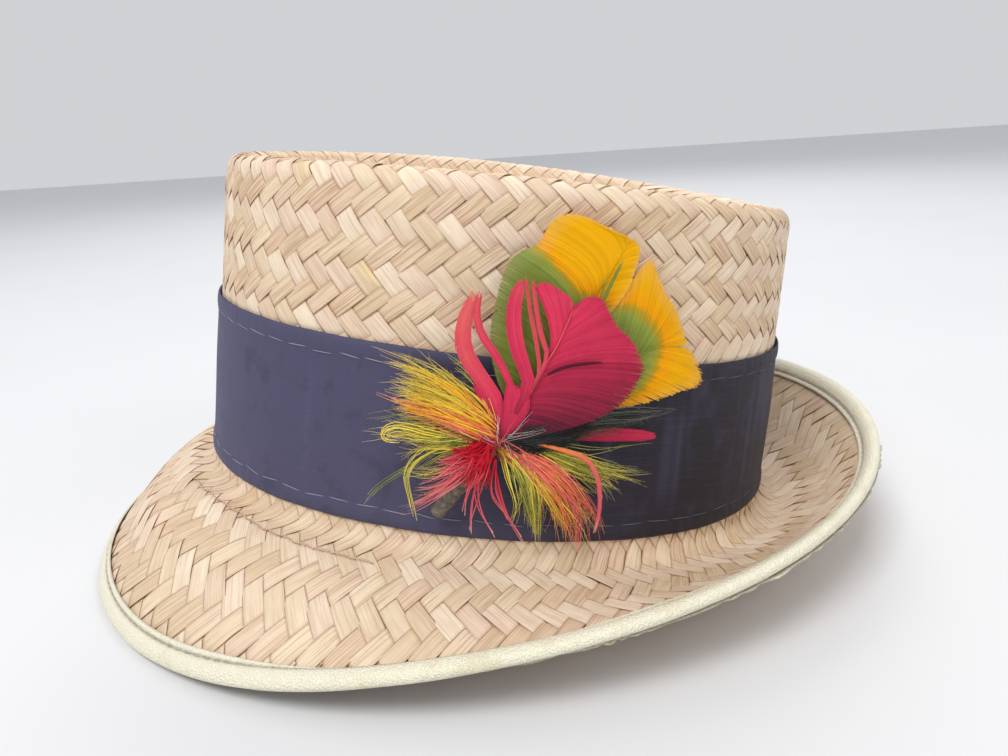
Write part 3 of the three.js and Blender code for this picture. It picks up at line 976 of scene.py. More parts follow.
BINDING_TOP = (
    (-4.2, 1.2), (-4.08, 1.52), (-3.7, 1.72), (-3.2, 1.74), (-2.8, 1.62), (-2.5, 1.36),
    (-2.25, 1.26), (-2.0, 1.34), (-1.65, 1.62), (-1.0, 1.86), (-0.1, 1.98), (0.9, 1.93),
    (1.8, 1.72), (2.6, 1.3), (3.1, 0.68),
)
SLOT = ((-4.2, -1.1), (-2.3, -1.08), (0.4, -1.0), (0.4, 1.0), (-2.3, 1.08), (-4.2, 1.1))
FRILL = (
    (-2.6, -1.5), (-0.4, -1.9), (1.1, -2.35), (1.5, -2.75), (1.1, -2.95), (-0.6, -2.45),
    (-2.6, -1.95),
)
BINDING_COLUMNS = 420


def between(parts, places):
    """Each part read at places between its rows, which run round and meet."""
    i = places.astype(int)
    j = (i + 1) % len(parts[0])
    f = (places - i)[..., None]
    return [part[i] * (1 - f) + part[j] * f for part in parts]


def make_binding(vinyl, thread):
    rng = np.random.default_rng(31)
    columns = BINDING_COLUMNS
    angles = round_brim(1.0, np.arange(columns) / columns)
    edge = brim_point(angles, 1.0)
    out = unit(edge - brim_point(angles, 0.93))
    up = unit(np.cross(out, np.roll(edge, -1, 0) - np.roll(edge, 1, 0)))
    middle = edge - up * 0.9
    top = np.array(BINDING_TOP)
    section = np.concatenate([top, [[3.25, 0.0]], top[::-1] * [1, -1], np.array(SLOT)])
    across, high = section.T
    swell = 1 + 0.03 * wander(rng, columns, 7.0)
    swell[-6:] = np.linspace(swell[-7], swell[0], 6)
    swell = swell[:, None]
    bead = (across > -2.0) & (np.arange(len(section)) < 2 * len(top) + 1)
    degrees = np.degrees(angles)
    tucked = (soft_step(degrees, -127, -107) * soft_step(degrees, -74, -90))[:, None]
    lip = across < -2.0
    wide = np.where(lip, -2.0 + (across + 2.0) * (1 - 0.85 * tucked), across)
    wide = wide * np.where(bead, swell - 0.1 * tucked, 1.0)
    tall = high * np.where(bead, swell, 1.0) * np.where(lip, 1 - 0.5 * tucked, 1.0)
    points = middle[:, None] + out[:, None] * wide[..., None] + up[:, None] * tall[..., None]
    # Darker along the seam's groove and at the lip's edge.
    darkening = np.clip(1 - np.abs(across + 2.25) / 0.7, 0, 1)
    darkening += 0.6 * np.clip(1 - np.abs(across + 4.2) / 0.3, 0, 1)
    marks = {"seam": np.tile(np.clip(darkening, 0, 1)[:, None], (1, columns))}
    binding = hoops("binding_roll", points.transpose(1, 0, 2), vinyl, marks)
    frill = make_frill(vinyl, middle, out, up)
    count = 212
    rows = []
    for face in (1.0, -1.0):
        turn = (np.arange(count) + rng.random(count) * 0.12) / count
        stop = turn + (0.62 + rng.random(count) * 0.12) / count
        places = np.stack([turn, stop], -1) * columns % columns
        place, side, rise = between((middle, out, up), places)
        sunk = (1 - 0.5 * tucked[places.astype(int), 0])[..., None]
        jog = rng.normal(size=(count, 2, 1)) * 0.08
        ends = place + side * (jog - 2.25 * sunk) + rise * face * 1.28 * sunk
        rows.append([ends[:, 0], ends[:, 1], rise[:, 1] * face])
    stitches = stitch_row(rows, "binding_stitching", 0.22, 0.24, thread, rng)
    return binding, frill, stitches


def make_frill(vinyl, middle, out, up):
    """The binding's turned-under edge, puckered between its stitches where it clears the floor."""
    columns = BINDING_COLUMNS * 2
    line, outward, high = between((middle, out, up), np.arange(columns) / 2)
    clear = np.clip((at_rest(line)[:, 2] - 0.0065) / 0.006, 0, 1)
    rng = np.random.default_rng(37)
    phase = np.arange(columns) / columns * 104 + 0.8 * wander(rng, columns, 16.0) * clear
    uneven = np.clip(0.45 + 0.4 * np.abs(wander(rng, columns, 7.0)), 0, 1.15)
    pucker = (np.abs(np.sin(phase * math.pi)) ** 0.6 * uneven)[:, None]
    clear = clear[:, None]
    across, height = np.array(FRILL).T
    free = np.clip((across + 1.6) / 2.7, 0, 1)
    grow = pucker * clear * free
    wide = across * (0.55 + 0.45 * clear) + grow * 0.9 - 0.9 * free * clear
    tall = height + 0.5 * free - grow * 0.75 + (1 - clear) * 0.55 * free
    points = line[:, None] + outward[:, None] * wide[..., None] + high[:, None] * tall[..., None]
    # Darker all over, most on the free part where it is pinched between puckers.
    darkening = np.clip(0.35 + 0.5 * (1 - pucker.T) * free[:, None], 0, 1)
    return hoops("binding_frill", points.transpose(1, 0, 2), vinyl, {"seam": darkening})


RUNNING_STITCH = (
    (-158.8, 0.09), (-148.5, 0.065), (-140.5, 0.06), (-132.2, 0.09), (-126.5, 0.11),
    (-120.8, 0.125), (-115.2, 0.13), (-109.8, 0.145),
)


def make_brim_thread(thread):
    """A loose two-ply thread run along the brim's upper face, dipping in at each stitch."""
    steps = 150
    t = np.linspace(0, 1, steps)
    path = smooth_path(RUNNING_STITCH, steps)
    angle = np.radians(path[:, 0])
    share = path[:, 1] + 0.004 * wander(np.random.default_rng(77), steps, 6.0)
    place = brim_point(angle, share)
    along = unit(np.gradient(place, axis=0))
    normal = unit(np.cross(brim_point(angle, share + 0.03) - place, along))
    normal *= np.sign(normal[:, 2:3])
    side = np.cross(along, normal)
    dip = np.cos(t * math.pi * 2 * 11) * 0.5 + 0.5
    core = place + normal * (0.62 - 0.75 * dip**6)[:, None]
    twist = (t * 150.0 + np.array([[0.0], [math.pi]]))[..., None]
    lines = core + (side * np.cos(twist) + normal * np.sin(twist)) * 0.11
    widths = np.full((2, steps), 0.15)
    points, faces = blades(lines, np.repeat(normal[None], 2, 0), widths, widths)
    piece = mesh_piece("brim_running_stitch", points, faces, thread)
    mark = np.zeros((2, steps, 4, 3))
    mark[..., 0] = (t * 80.0)[:, None]
    mark[..., 1] = 0.3
    note(piece, "thread", mark.reshape(-1, 3))
    return piece


# ---------------------------------------------------------------- the feather spray


class Barbs:
    """Gathers barbs and strands of one length count into one mesh."""

    def __init__(self, rng, count=9):
        self.rng = rng
        self.count = count
        self.t = np.linspace(0, 1, count)
        self.rows = []
        self.fine = None

    def add(self, x, z, lift, width, thick, zone, own=None):
        """Strands from arrays of crown-side places, one row a strand."""
        points, normals = on_wall(x, z, lift)
        n = len(points)
        mark = np.zeros((n, self.count, 4, 3))
        mark[..., 0] = self.t[:, None]
        mark[..., 1] = np.asarray(self.rng.random(n) if own is None else own)[:, None, None]
        mark[..., 2] = np.broadcast_to(zone, (n, self.count))[..., None]
        halves = [np.broadcast_to(size, (n, self.count)) / 2 for size in (width, thick)]
        self.rows.append([points, normals, *halves, mark.reshape(-1, 3)])

    def vane(
        self, shaft, tips, span, count, lift, spring, width, zone, fray, zone_along=0.0, thin_tip=0.7
    ):
        """Barbs from a stretch of a shaft to an outline. They leave along the shaft and spread."""
        rng = self.rng
        s = np.sort((np.arange(count) + rng.random(count)) / count)
        curve = smooth_path(shaft, 200)
        index = np.minimum(((span[0] + (span[1] - span[0]) * s) * 199).astype(int), 197)
        root = curve[index]
        tangent = unit(curve[index + 2] - root)
        tip = smooth_path(tips, 300)[(s * 299).astype(int)]
        reach = np.linalg.norm(tip - root, axis=1, keepdims=True)
        tip = root + (tip - root) * (1 + rng.normal(size=(count, 1)) * fray)
        ends = (root, root + tangent * reach * spring, tip)
        x, z = bent(*(end[:, None] for end in ends), self.t[:, None]).transpose(2, 0, 1)
        layer = (rng.random(count) - 0.5)[:, None] * 0.06
        t = self.t
        high = lift[0] + (lift[1] - lift[0]) * t + layer * (0.3 + t)
        wide = width * (0.75 + 0.5 * np.sin(np.minimum(t, 0.8) * math.pi)) * (1 - thin_tip * t**6)
        if callable(zone):
            tone = zone(x, z)
        else:
            tone = zone[0] + (zone[1] - zone[0]) * s[:, None] + zone_along * (t - 0.5)
        self.add(x, z, high, wide, 0.035, tone)

    def lock(self, path, count, width, zone, taper=1.6, spread=0.0, zone_to=None, fill=1.7):
        """A split strand of a vane: barbs side by side along one path, or loose if fill is low."""
        rng = self.rng
        curve = smooth_path(path, 60)
        across = unit(square_to(np.gradient(curve[:, :2], axis=0)))
        guide = np.concatenate([curve, across], 1)
        rows = []
        for offset in (np.arange(count) + 0.5) / count - 0.5:
            t = np.linspace(0, 1.0 - 0.045 * rng.random() * taper, self.count)
            shape = np.interp(t, (0, 0.25, 0.6, 0.9, 1.0), (0.5, 0.85, 1.0, 0.8, 0.35))
            place = np.stack([np.interp(t * 59, np.arange(60), part) for part in guide.T], -1)
            drift = offset * width * (shape + spread * t)
            if fill < 1:
                drift = drift + rng.normal() * 0.4 * np.sin(t * math.pi * (1 + rng.random()))
            place[:, :2] += place[:, 3:] * drift[:, None]
            place[:, 2] += (0.25 - offset * offset) * 1.6 + rng.normal() * 0.02
            rows.append(place[:, :3])
        wide = width / count * fill * (1 - 0.5 * self.t**5)
        tone = zone if zone_to is None else zone + (zone_to - zone) * self.t
        self.add(*np.array(rows).transpose(2, 0, 1), wide, 0.07, tone)

    def spray(
        self, root, tips, count, lift, bend, width, zone, scatter, zone_spread, curl=0.0, root_zone=None
    ):
        """Loose hackle strands from a knot to places along a line of tips, a few together."""
        rng = self.rng
        locks = max(3, count // 7)
        lock = rng.integers(0, locks, count)
        spots = (np.arange(locks) + rng.random(locks)) / locks
        at = np.clip(spots[lock] + rng.normal(size=count) * 0.1 / locks, 0, 1)
        tip = smooth_path(tips, 300)[(at * 299).astype(int)]
        tip = tip + rng.normal(size=(locks, 3))[lock] * [scatter * 0.9, scatter * 0.9, 0.5]
        tip = tip + rng.normal(size=(count, 3)) * [scatter * 0.35, scatter * 0.35, 0.3]
        start = np.array(root)[None] + rng.normal(size=(count, 2)) * 1.3
        length = (0.78 + 0.22 * rng.random(locks)[lock] + 0.09 * rng.normal(size=count))[:, None]
        reach = (tip[:, :2] - start) * length
        side = square_to(reach)
        sway = bend + rng.normal(size=locks)[lock] * 0.06 + rng.normal(size=count) * 0.035
        ends = (start, start + reach * 0.5 + side * sway[:, None], start + reach)
        line = bent(*(end[:, None] for end in ends), self.t[:, None])
        pace = 1.2 + 1.4 * rng.random(locks)[lock]
        t = self.t
        swing = np.sin(t * math.pi * pace[:, None] + at[:, None] * 9)
        swing = swing * t * (0.02 + curl * rng.random(count)[:, None])
        line = line + side[:, None] * swing[..., None]
        high = lift[0] + (lift[1] - lift[0]) * rng.random(count)[:, None]
        high = high * (0.75 + 1.2 * t * (1 - t)) + (tip[:, 2:3] - high) * t**2 * 0.7
        wide = width * (0.6 + 0.5 * rng.random(count)[:, None]) * (1 - 0.85 * t**2)
        base = zone if root_zone is None else root_zone
        tone = zone + (base - zone) * (1 - t) ** 3
        tone = tone + rng.normal(size=locks)[lock][:, None] * zone_spread
        self.add(line[..., 0], line[..., 1], high, wide, wide * 0.45, np.clip(tone, 0, 1))
        return line, high, tone

    def fuzz(self, line, high, tone, each, reach, width):
        """Fine barbules standing off loose strands."""
        rng = self.rng
        strands = len(line)
        rows = np.arange(strands)
        fine = self.fine = self.fine or Barbs(rng, 4)
        for _ in range(each):
            k = rng.random(strands) * (self.count - 2)
            i = k.astype(int)
            near = line[rows, i]
            way = line[rows, i + 1] - near
            place = near + way * (k - i)[:, None]
            way = unit(way)
            side = square_to(way) * rng.choice([-1, 1], strands)[:, None]
            size = (reach * (0.5 + rng.random(strands)))[:, None]
            middle = place + (way * 0.25 + side * 0.45) * size
            ends = (place, middle, place + (way * 0.75 + side * 0.6) * size)
            path = bent(*(end[:, None] for end in ends), fine.t[:, None])
            lift = high[rows, i][:, None] + fine.t * rng.normal(size=(strands, 1)) * 0.8
            wide = width * (1 - 0.8 * fine.t)
            fine.add(path[..., 0], path[..., 1], lift, wide, wide, tone[rows, i][:, None])

    def shape(self):
        *parts, marks = (np.concatenate(part) for part in zip(*self.rows))
        return *blades(*parts), marks

    def finish(self, name, material):
        points, faces, marks = self.shape()
        if self.fine is not None:
            more, more_faces, more_marks = self.fine.shape()
            faces = np.concatenate([faces, more_faces + len(points)])
            points = np.concatenate([points, more])
            marks = np.concatenate([marks, more_marks])
        piece = mesh_piece(name, points, faces, material, False)
        note(piece, "barb", marks)
        return piece


KNOT = (-7.5, 37.5)


def quill(barbs, path, width, zone):
    """The shaft of a feather."""
    curve = smooth_path(path, barbs.count)
    wide = width * np.linspace(1.0, 0.35, barbs.count)
    barbs.add(curve[None, :, 0], curve[None, :, 1], curve[None, :, 2], wide, wide, zone, [0.6])


def upper_dye(x, z):
    """Green below a slanting line, yellow above it."""
    line = np.interp(x, (-12.0, -3.0, 0.0, 10.6, 15.5, 22.0), (92.0, 90.5, 88.6, 78.3, 76.8, 74.0))
    return np.clip(0.53 + (z - line) * 0.07, 0.14, 0.95)


def side_dye(x, z):
    """Green round the shaft's end, with a yellow rim."""
    return np.clip(0.53 + (np.hypot(x - 22.0, z - 62.0) - 13.6) * 0.07, 0.14, 0.95)


def make_upper_feather(material):
    barbs = Barbs(np.random.default_rng(41), 8)
    shaft = ((-6.5, 42.0), (2.0, 56.0), (11.0, 70.0), (17.5, 81.0), (22.5, 91.0))
    left = (
        (-5.0, 46.5), (-9.0, 54.0), (-11.4, 64.0), (-10.6, 74.5), (-8.7, 83.0), (-5.5, 87.0),
        (-2.0, 88.8), (-0.2, 90.8), (1.4, 94.4), (4.0, 96.8), (9.0, 97.3), (15.0, 95.2),
        (21.5, 93.0),
    )
    right = (
        (4.0, 52.0), (12.0, 62.0), (19.0, 72.0), (23.5, 79.0), (25.0, 84.0), (25.8, 89.6),
        (23.6, 92.4),
    )
    barbs.vane(
        shaft, left, (0.02, 0.99), 430, (4.6, 5.4), 0.55, 0.62, upper_dye, 0.006, thin_tip=0.5
    )
    barbs.vane(shaft, right, (0.1, 0.99), 200, (4.5, 5.0), 0.5, 0.58, upper_dye, 0.01, thin_tip=0.6)
    quill(barbs, [(x, z, 4.3) for x, z in shaft], 0.5, 0.5)
    dark = ((14.6, 68.0, 5.4), (16.6, 75.0, 5.8), (18.9, 81.5, 6.0), (21.2, 87.0, 5.8))
    barbs.lock(dark, 3, 0.8, 0.14, 2.5)
    dark = ((14.4, 68.0, 5.4), (15.6, 74.0, 5.8), (16.6, 79.0, 6.0), (17.4, 82.0, 5.8))
    barbs.lock(dark, 2, 0.5, 0.16, 2.5)
    return barbs.finish("upper_feather_vane", material)


def make_side_feather(material):
    barbs = Barbs(np.random.default_rng(43), 8)
    shaft = ((-4.0, 41.5), (8.0, 48.0), (18.0, 54.5), (26.0, 59.5), (31.5, 63.0))
    upper = (
        (3.0, 52.0), (10.0, 63.0), (18.0, 73.0), (22.5, 77.5), (26.5, 84.5), (29.8, 86.6),
        (33.4, 80.2), (37.0, 75.8), (40.2, 70.8), (43.4, 64.2),
    )
    lower = (
        (6.0, 44.5), (18.0, 45.8), (27.5, 47.4), (35.6, 49.2), (42.5, 51.2), (48.0, 52.8),
        (48.8, 55.4), (46.6, 60.0), (43.9, 63.4),
    )
    barbs.vane(
        shaft, upper, (0.05, 0.99), 360, (3.6, 4.6), 0.34, 0.58, side_dye, 0.012, thin_tip=0.7
    )
    barbs.vane(
        shaft, lower, (0.05, 0.99), 340, (3.6, 4.4), 0.34, 0.52, side_dye, 0.025, thin_tip=0.75
    )
    quill(barbs, [(x, z, 3.4) for x, z in shaft], 0.5, 0.3)
    slit = ((23.6, 59.6, 5.0), (27.5, 61.6, 5.2), (31.4, 63.2, 5.2), (35.6, 64.2, 5.0))
    barbs.lock(slit, 2, 0.45, 0.16, 2.5)
    return barbs.finish("side_feather_vane", material)


def make_crimson_feather(material):
    barbs = Barbs(np.random.default_rng(47), 10)
    shaft = ((-7.4, 37.0), (-3.8, 44.5), (-0.2, 52.2), (2.8, 59.2), (5.8, 65.5), (8.6, 74.0))
    crown_left = ((-1.4, 79.0), (0.6, 80.4), (3.4, 79.6), (7.0, 77.6), (8.8, 75.4))
    upper_right = (
        (28.8, 60.8), (25.6, 66.2), (21.4, 69.8), (18.4, 73.6), (15.6, 77.4), (11.6, 77.4),
        (9.4, 75.2),
    )
    lower_right = (
        (-1.0, 39.6), (5.0, 41.2), (11.5, 43.0), (19.0, 46.2), (25.0, 51.0), (28.4, 56.6),
        (28.9, 60.5),
    )
    barbs.vane(
        shaft, crown_left, (0.62, 0.98), 100, (8.6, 9.0), 0.4, 0.6, (0.62, 0.7), 0.008, thin_tip=0.5
    )
    barbs.vane(
        shaft, upper_right, (0.42, 0.98), 230, (8.6, 9.4), 0.37, 0.62, (0.5, 0.66), 0.01, -0.1, 0.7
    )
    # The lower lobe takes the ramp's darkest tones near the knot: painted shade there.
    barbs.vane(
        shaft, lower_right, (0.03, 0.415), 230, (8.4, 9.2), 0.36, 0.62, (0.0, 0.42), 0.02, -0.2, 0.6
    )
    # A lock of the darkest barbs along the split between the lobes: painted shade in the gap.
    slit = (
        (3.6, 57.0, 9.4), (6.4, 58.7, 9.6), (9.4, 59.8, 9.7), (13.6, 60.6, 9.7), (18.6, 61.0, 9.5),
    )
    barbs.lock(slit, 3, 0.8, 0.0, 2.0)
    outer = (
        (-6.4, 41.0, 8.6), (-9.2, 49.5, 8.8), (-14.0, 55.5, 9.2), (-18.2, 62.0, 9.6),
        (-18.6, 69.0, 9.6),
    )
    barbs.lock(outer + ((-16.4, 77.0, 9.0),), 20, 4.4, 0.6, zone_to=0.86)
    thin = (
        (-4.8, 46.0, 9.2), (-5.4, 53.0, 9.4), (-10.0, 61.0, 9.8), (-14.2, 66.5, 9.8),
        (-15.7, 72.0, 9.6),
    )
    barbs.lock(thin + ((-15.0, 77.2, 9.2),), 8, 2.0, 0.58, zone_to=0.8)
    broad = (
        (-3.8, 46.0, 9.3), (-1.2, 54.5, 9.6), (-4.2, 62.0, 9.8), (-6.1, 69.0, 9.8),
        (-6.3, 75.5, 9.6),
    )
    barbs.lock(broad + ((-4.7, 81.0, 9.2),), 18, 4.0, 0.55, zone_to=0.74)
    slim = (
        (-0.8, 52.0, 9.2), (1.4, 57.6, 9.4), (-0.4, 66.5, 9.6), (-2.4, 73.4, 9.6),
        (-4.0, 82.2, 9.2),
    )
    barbs.lock(slim, 5, 1.0, 0.76)
    inner = (
        (0.2, 53.0, 9.2), (3.0, 61.5, 9.4), (1.1, 67.0, 9.6), (-0.7, 73.4, 9.6), (-2.6, 82.6, 9.2),
    )
    barbs.lock(inner, 6, 1.3, 0.74)
    # These locks start darker at the knot: painted shade there.
    low = ((-6.8, 39.0, 8.4), (-9.6, 45.5, 8.4), (-12.2, 50.0, 8.6), (-14.6, 53.4, 8.8))
    barbs.lock(low, 14, 3.4, 0.36, zone_to=0.6)
    for k in range(6):
        x = -1.4 - 0.8 * k
        base = ((-6.4, 39.5, 9.0), (x * 0.9 - 0.8, 46.5, 9.2), (x - 0.4, 52.5 + 0.4 * k, 9.3))
        barbs.lock(base, 12, 3.0, 0.34, zone_to=0.56 + 0.02 * k)
    quill(barbs, [(x, z, 9.3) for x, z in shaft], 0.7, 0.84)
    return barbs.finish("crimson_feather_vane", material)


def make_small_red_feather(material):
    barbs = Barbs(np.random.default_rng(53), 9)
    path = ((2.0, 41.0, 5.6), (14.0, 39.9, 5.4), (26.0, 39.6, 4.8), (37.2, 38.7, 4.2))
    barbs.lock(path, 22, 3.9, 0.12, 0.8, zone_to=0.5)
    return barbs.finish("small_red_feather_vane", material)


def make_front_tuft(material):
    barbs = Barbs(np.random.default_rng(59), 12)
    upper = ((-20.0, 58.0, 6.5), (-29.0, 57.0, 6.5), (-36.0, 57.0, 6.0))
    middle = ((-36.2, 56.4, 6.0), (-36.8, 51.0, 6.0), (-35.0, 47.0, 6.5), (-34.5, 43.5, 7.0))
    lower = ((-37.0, 42.0, 6.0), (-39.0, 37.5, 6.0), (-36.0, 34.0, 6.0), (-30.0, 29.0, 5.5))
    down = ((-31.0, 30.0, 5.0), (-31.5, 22.0, 5.0), (-29.0, 14.0, 4.5))
    rows = []
    rows.append(barbs.spray(KNOT, upper, 50, (6.5, 9.0), -0.26, 0.27, 0.16, 1.6, 0.06, 0.0, 0.4))
    rows.append(
        barbs.spray(KNOT, middle, 250, (6.5, 10.0), -0.24, 0.34, 0.27, 1.4, 0.09, 0.0, 0.95)
    )
    rows.append(
        barbs.spray(KNOT, middle[2:], 90, (7.5, 10.5), -0.14, 0.36, 0.5, 1.4, 0.12, 0.0, 1.0)
    )
    rows.append(barbs.spray(KNOT, lower, 140, (6.0, 9.0), -0.06, 0.29, 0.18, 1.7, 0.09, 0.07, 0.02))
    rows.append(barbs.spray(KNOT, down, 20, (5.5, 7.5), 0.2, 0.28, 0.14, 1.4, 0.08, 0.05, 0.1))
    for line, high, tone in rows:
        barbs.fuzz(line, high, tone, 6, 1.6, 0.075)
    loop = (
        (-12, 38, 8.0), (-24, 37.5, 8.0), (-33.5, 38.5, 7.4), (-37.4, 36.4, 6.8),
        (-37.2, 34.4, 6.6),
    )
    barbs.lock(loop + ((-32.6, 34.6, 6.6),), 7, 2.2, 0.22, 3.0, 0.2, fill=0.8)
    hook = (
        (-12, 37.5, 8.0), (-20, 36.0, 7.6), (-27.8, 31.2, 7.0), (-31.2, 25.0, 6.2),
        (-30.0, 17.8, 5.4),
    )
    barbs.lock(hook + ((-28.0, 10.8, 4.8),), 6, 1.8, 0.18, 3.0, 0.2, fill=0.8)
    long = (
        (-14, 37.0, 7.4), (-24, 32.6, 6.8), (-31.4, 26.4, 6.0), (-38.4, 19.8, 5.0),
        (-42.6, 13.4, 4.2),
    )
    barbs.lock(long, 5, 1.5, 0.02, 3.0, 0.3, fill=0.7)
    return barbs.finish("front_hackle_strands", material)


def make_red_tuft(material):
    barbs = Barbs(np.random.default_rng(61), 12)
    root = (-11.5, 36.5)
    left = (
        (-32.5, 14.5, 6.0), (-30.0, 17.0, 6.5), (-27.0, 22.5, 8.0), (-24.0, 27.5, 9.0),
        (-22.0, 31.5, 9.0),
    )
    down = (
        ((-9.5, 34.0, 11.0), (-12.6, 25.0, 11.0), (-13.4, 18.0, 10.0), (-13.0, 10.8, 9.0)),
        ((-10.0, 33.0, 11.0), (-12.2, 26.0, 11.5), (-10.4, 18.0, 10.5), (-6.4, 10.8, 9.4)),
        ((-8.5, 33.0, 11.0), (-6.2, 24.0, 11.0), (-3.4, 17.0, 10.0), (1.4, 9.7, 9.0)),
        ((-8.2, 34.0, 11.4), (-8.0, 25.5, 11.4), (-5.8, 20.5, 10.4), (-3.2, 16.0, 9.4)),
        ((-11.0, 33.0, 11.0), (-13.8, 27.0, 11.6), (-15.2, 22.0, 11.0), (-15.6, 16.5, 9.8)),
    )
    core = ((-21.0, 35.0, 10.0), (-19.0, 28.5, 11.0), (-14.5, 25.0, 12.0), (-9.0, 27.0, 12.0))
    barbs.spray(root, left, 70, (9.5, 12.5), 0.08, 0.34, 0.88, 1.3, 0.06, 0.0, 0.25)
    line, high, tone = barbs.spray(
        root, core, 250, (9.5, 13.0), 0.02, 0.36, 0.55, 1.4, 0.1, 0.0, 0.1
    )
    barbs.fuzz(line, high, tone, 4, 1.5, 0.075)
    for path in down:
        barbs.lock(path, 3, 0.9, 0.4, 3.0, 0.1, zone_to=0.95, fill=0.9)
    return barbs.finish("red_hackle_strands", material)


def make_lower_tuft(material):
    barbs = Barbs(np.random.default_rng(67), 12)
    root = (-4.5, 35.5)
    right = ((31.5, 30.8, 5.0), (31.0, 26.5, 5.0), (27.0, 23.0, 5.5), (24.0, 17.0, 6.0))
    under = (
        (22.8, 12.5, 6.5), (17.6, 9.2, 7.0), (11.0, 10.5, 8.0), (5.0, 9.6, 8.0), (1.0, 13.0, 8.0),
    )
    rows = []
    rows.append(barbs.spray(root, right, 80, (6.0, 8.0), 0.14, 0.3, 0.12, 1.6, 0.1, 0.03, 0.1))
    rows.append(barbs.spray(root, under, 190, (7.0, 10.0), 0.2, 0.36, 0.15, 1.6, 0.1, 0.03, 0.3))
    for line, high, tone in rows:
        barbs.fuzz(line, high, tone, 4, 1.4, 0.07)
    barbs.spray(root, under[:3], 70, (8.0, 11.0), 0.26, 0.36, 0.74, 1.8, 0.14, 0.03, 0.9)
    ember = (
        (2, 38, 8.4), (9.2, 36.6, 8.8), (16.6, 34.0, 8.8), (20.6, 27.4, 8.2), (22.0, 18.8, 7.4),
    )
    barbs.lock(ember + ((21.3, 11.2, 6.6),), 7, 1.25, 0.6, 1.6, zone_to=1.0)
    rose = ((-2, 34, 9.0), (7.0, 30.0, 9.4), (13.5, 22.0, 9.0), (16.6, 13.0, 8.0), (17.2, 5.2, 7.0))
    barbs.lock(rose, 5, 1.2, 0.86, 3.0, 0.3, fill=0.75)
    return barbs.finish("lower_hackle_strands", material)


def make_down(material):
    """Dark and pale down round the knot."""
    barbs = Barbs(np.random.default_rng(71), 8)
    right = (
        (4.0, 45.5, 8.0), (14.0, 46.0, 7.6), (21.0, 45.0, 7.0), (20.0, 41.0, 7.0),
        (12.0, 36.5, 7.5),
    )
    right = right + ((5.0, 34.0, 8.0),)
    rows = [barbs.spray((-6.0, 37.6), right, 190, (7.4, 9.2), 0.03, 0.4, 0.06, 1.3, 0.04)]
    far = ((24.0, 49.5, 5.0), (34.0, 48.5, 4.6), (40.0, 46.0, 4.4), (34.0, 43.0, 4.6))
    rows.append(barbs.spray((6.0, 43.0), far, 50, (5.0, 6.6), 0.03, 0.2, 0.45, 1.6, 0.06))
    for line, high, tone in rows:
        barbs.fuzz(line, high, tone, 5, 1.6, 0.07)
    around = ((-7.0, 48.5, 10.0), (-3.0, 48.0, 10.5), (4.0, 44.5, 10.5), (6.5, 41.0, 10.0))
    barbs.spray(KNOT, around, 10, (9.6, 10.6), 0.04, 0.12, 0.85, 1.8, 0.06, 0.03)
    around = (
        (-13.0, 45.0, 11.0), (-16.0, 40.0, 11.0), (-8.0, 29.0, 13.0), (-3.0, 28.5, 11.0),
        (-1.0, 31.5, 10.0),
    )
    barbs.spray(KNOT, around, 8, (10.0, 11.6), 0.04, 0.11, 0.75, 1.6, 0.06, 0.03)
    return barbs.finish("down_wisps", material)


def make_stem(material):
    """The quills' butt ends, wound with tape."""
    rings = 46
    sides = 18
    t = np.linspace(0, 1, rings)
    centre, normal = on_wall(-22.5 + 13.5 * t, 14.0 + 21.5 * t, 4.5 + 2.7 * t)
    tangent = unit(np.gradient(centre, axis=0))
    side = unit(np.cross(tangent, normal))
    up = np.cross(side, tangent)
    turn = np.arange(sides) / sides * 2 * math.pi
    phase = (t[:, None] * 8.5 + turn / (2 * math.pi)) % 1.0
    radius = 1.95 + 0.3 * phase - 0.1 * t[:, None]
    radius[0] *= 0.82
    radius[-1] *= 0.5
    ring = np.cos(turn)[:, None] * side[:, None] + np.sin(turn)[:, None] * up[:, None]
    groove = np.clip(1 - phase / 0.16, 0, 1)
    groove[0] = 0.6
    points = centre[:, None] + ring * radius[..., None]
    return hoops("wound_stem", points, material, {"wrap": groove}, closed=False)


def make_pad(material):
    """The felt disc that the spray is sewn to."""
    centre, normal = on_wall(-9.0, 36.5, 2.75)
    mesh = bmesh.new()
    bmesh.ops.create_cone(mesh, cap_ends=True, segments=40, radius1=4.9, radius2=4.9, depth=1.5)
    rim = [e for e in mesh.edges if abs(e.verts[0].co.z - e.verts[1].co.z) < 1e-6]
    bevel = {"offset": 0.5, "segments": 3, "profile": 0.5, "affect": "EDGES", "material": -1}
    bmesh.ops.bevel(mesh, geom=rim, **bevel)
    turn = Vector(normal).to_track_quat("Z", "Y").to_matrix().to_4x4()
    mesh.transform(Matrix.Translation(Vector(centre)) @ turn)
    for vertex in mesh.verts:
        vertex.co = Vector(at_rest(np.array(vertex.co)))
    return set_down("felt_pad", finished("felt_pad", mesh), material)


def settle(piece, slot, *nodes):
    """Joins a finished piece to the model: it rides on the hat and stands for its plain solids."""
    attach(piece, "root")
    if nodes:
        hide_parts(*nodes)
    return piece


def colour_setting(name, description, *default):
    """A colour that the panel's user may change."""
    return FloatVectorProperty(name=name, description=description, subtype="COLOR", default=default)


def angle_setting(name, description, degrees):
    """An angle that the panel's user may change."""
    return FloatProperty(
        name=name, description=description, subtype="ANGLE", default=math.radians(degrees)
    )


# ---------------------------------------------------------------- settings


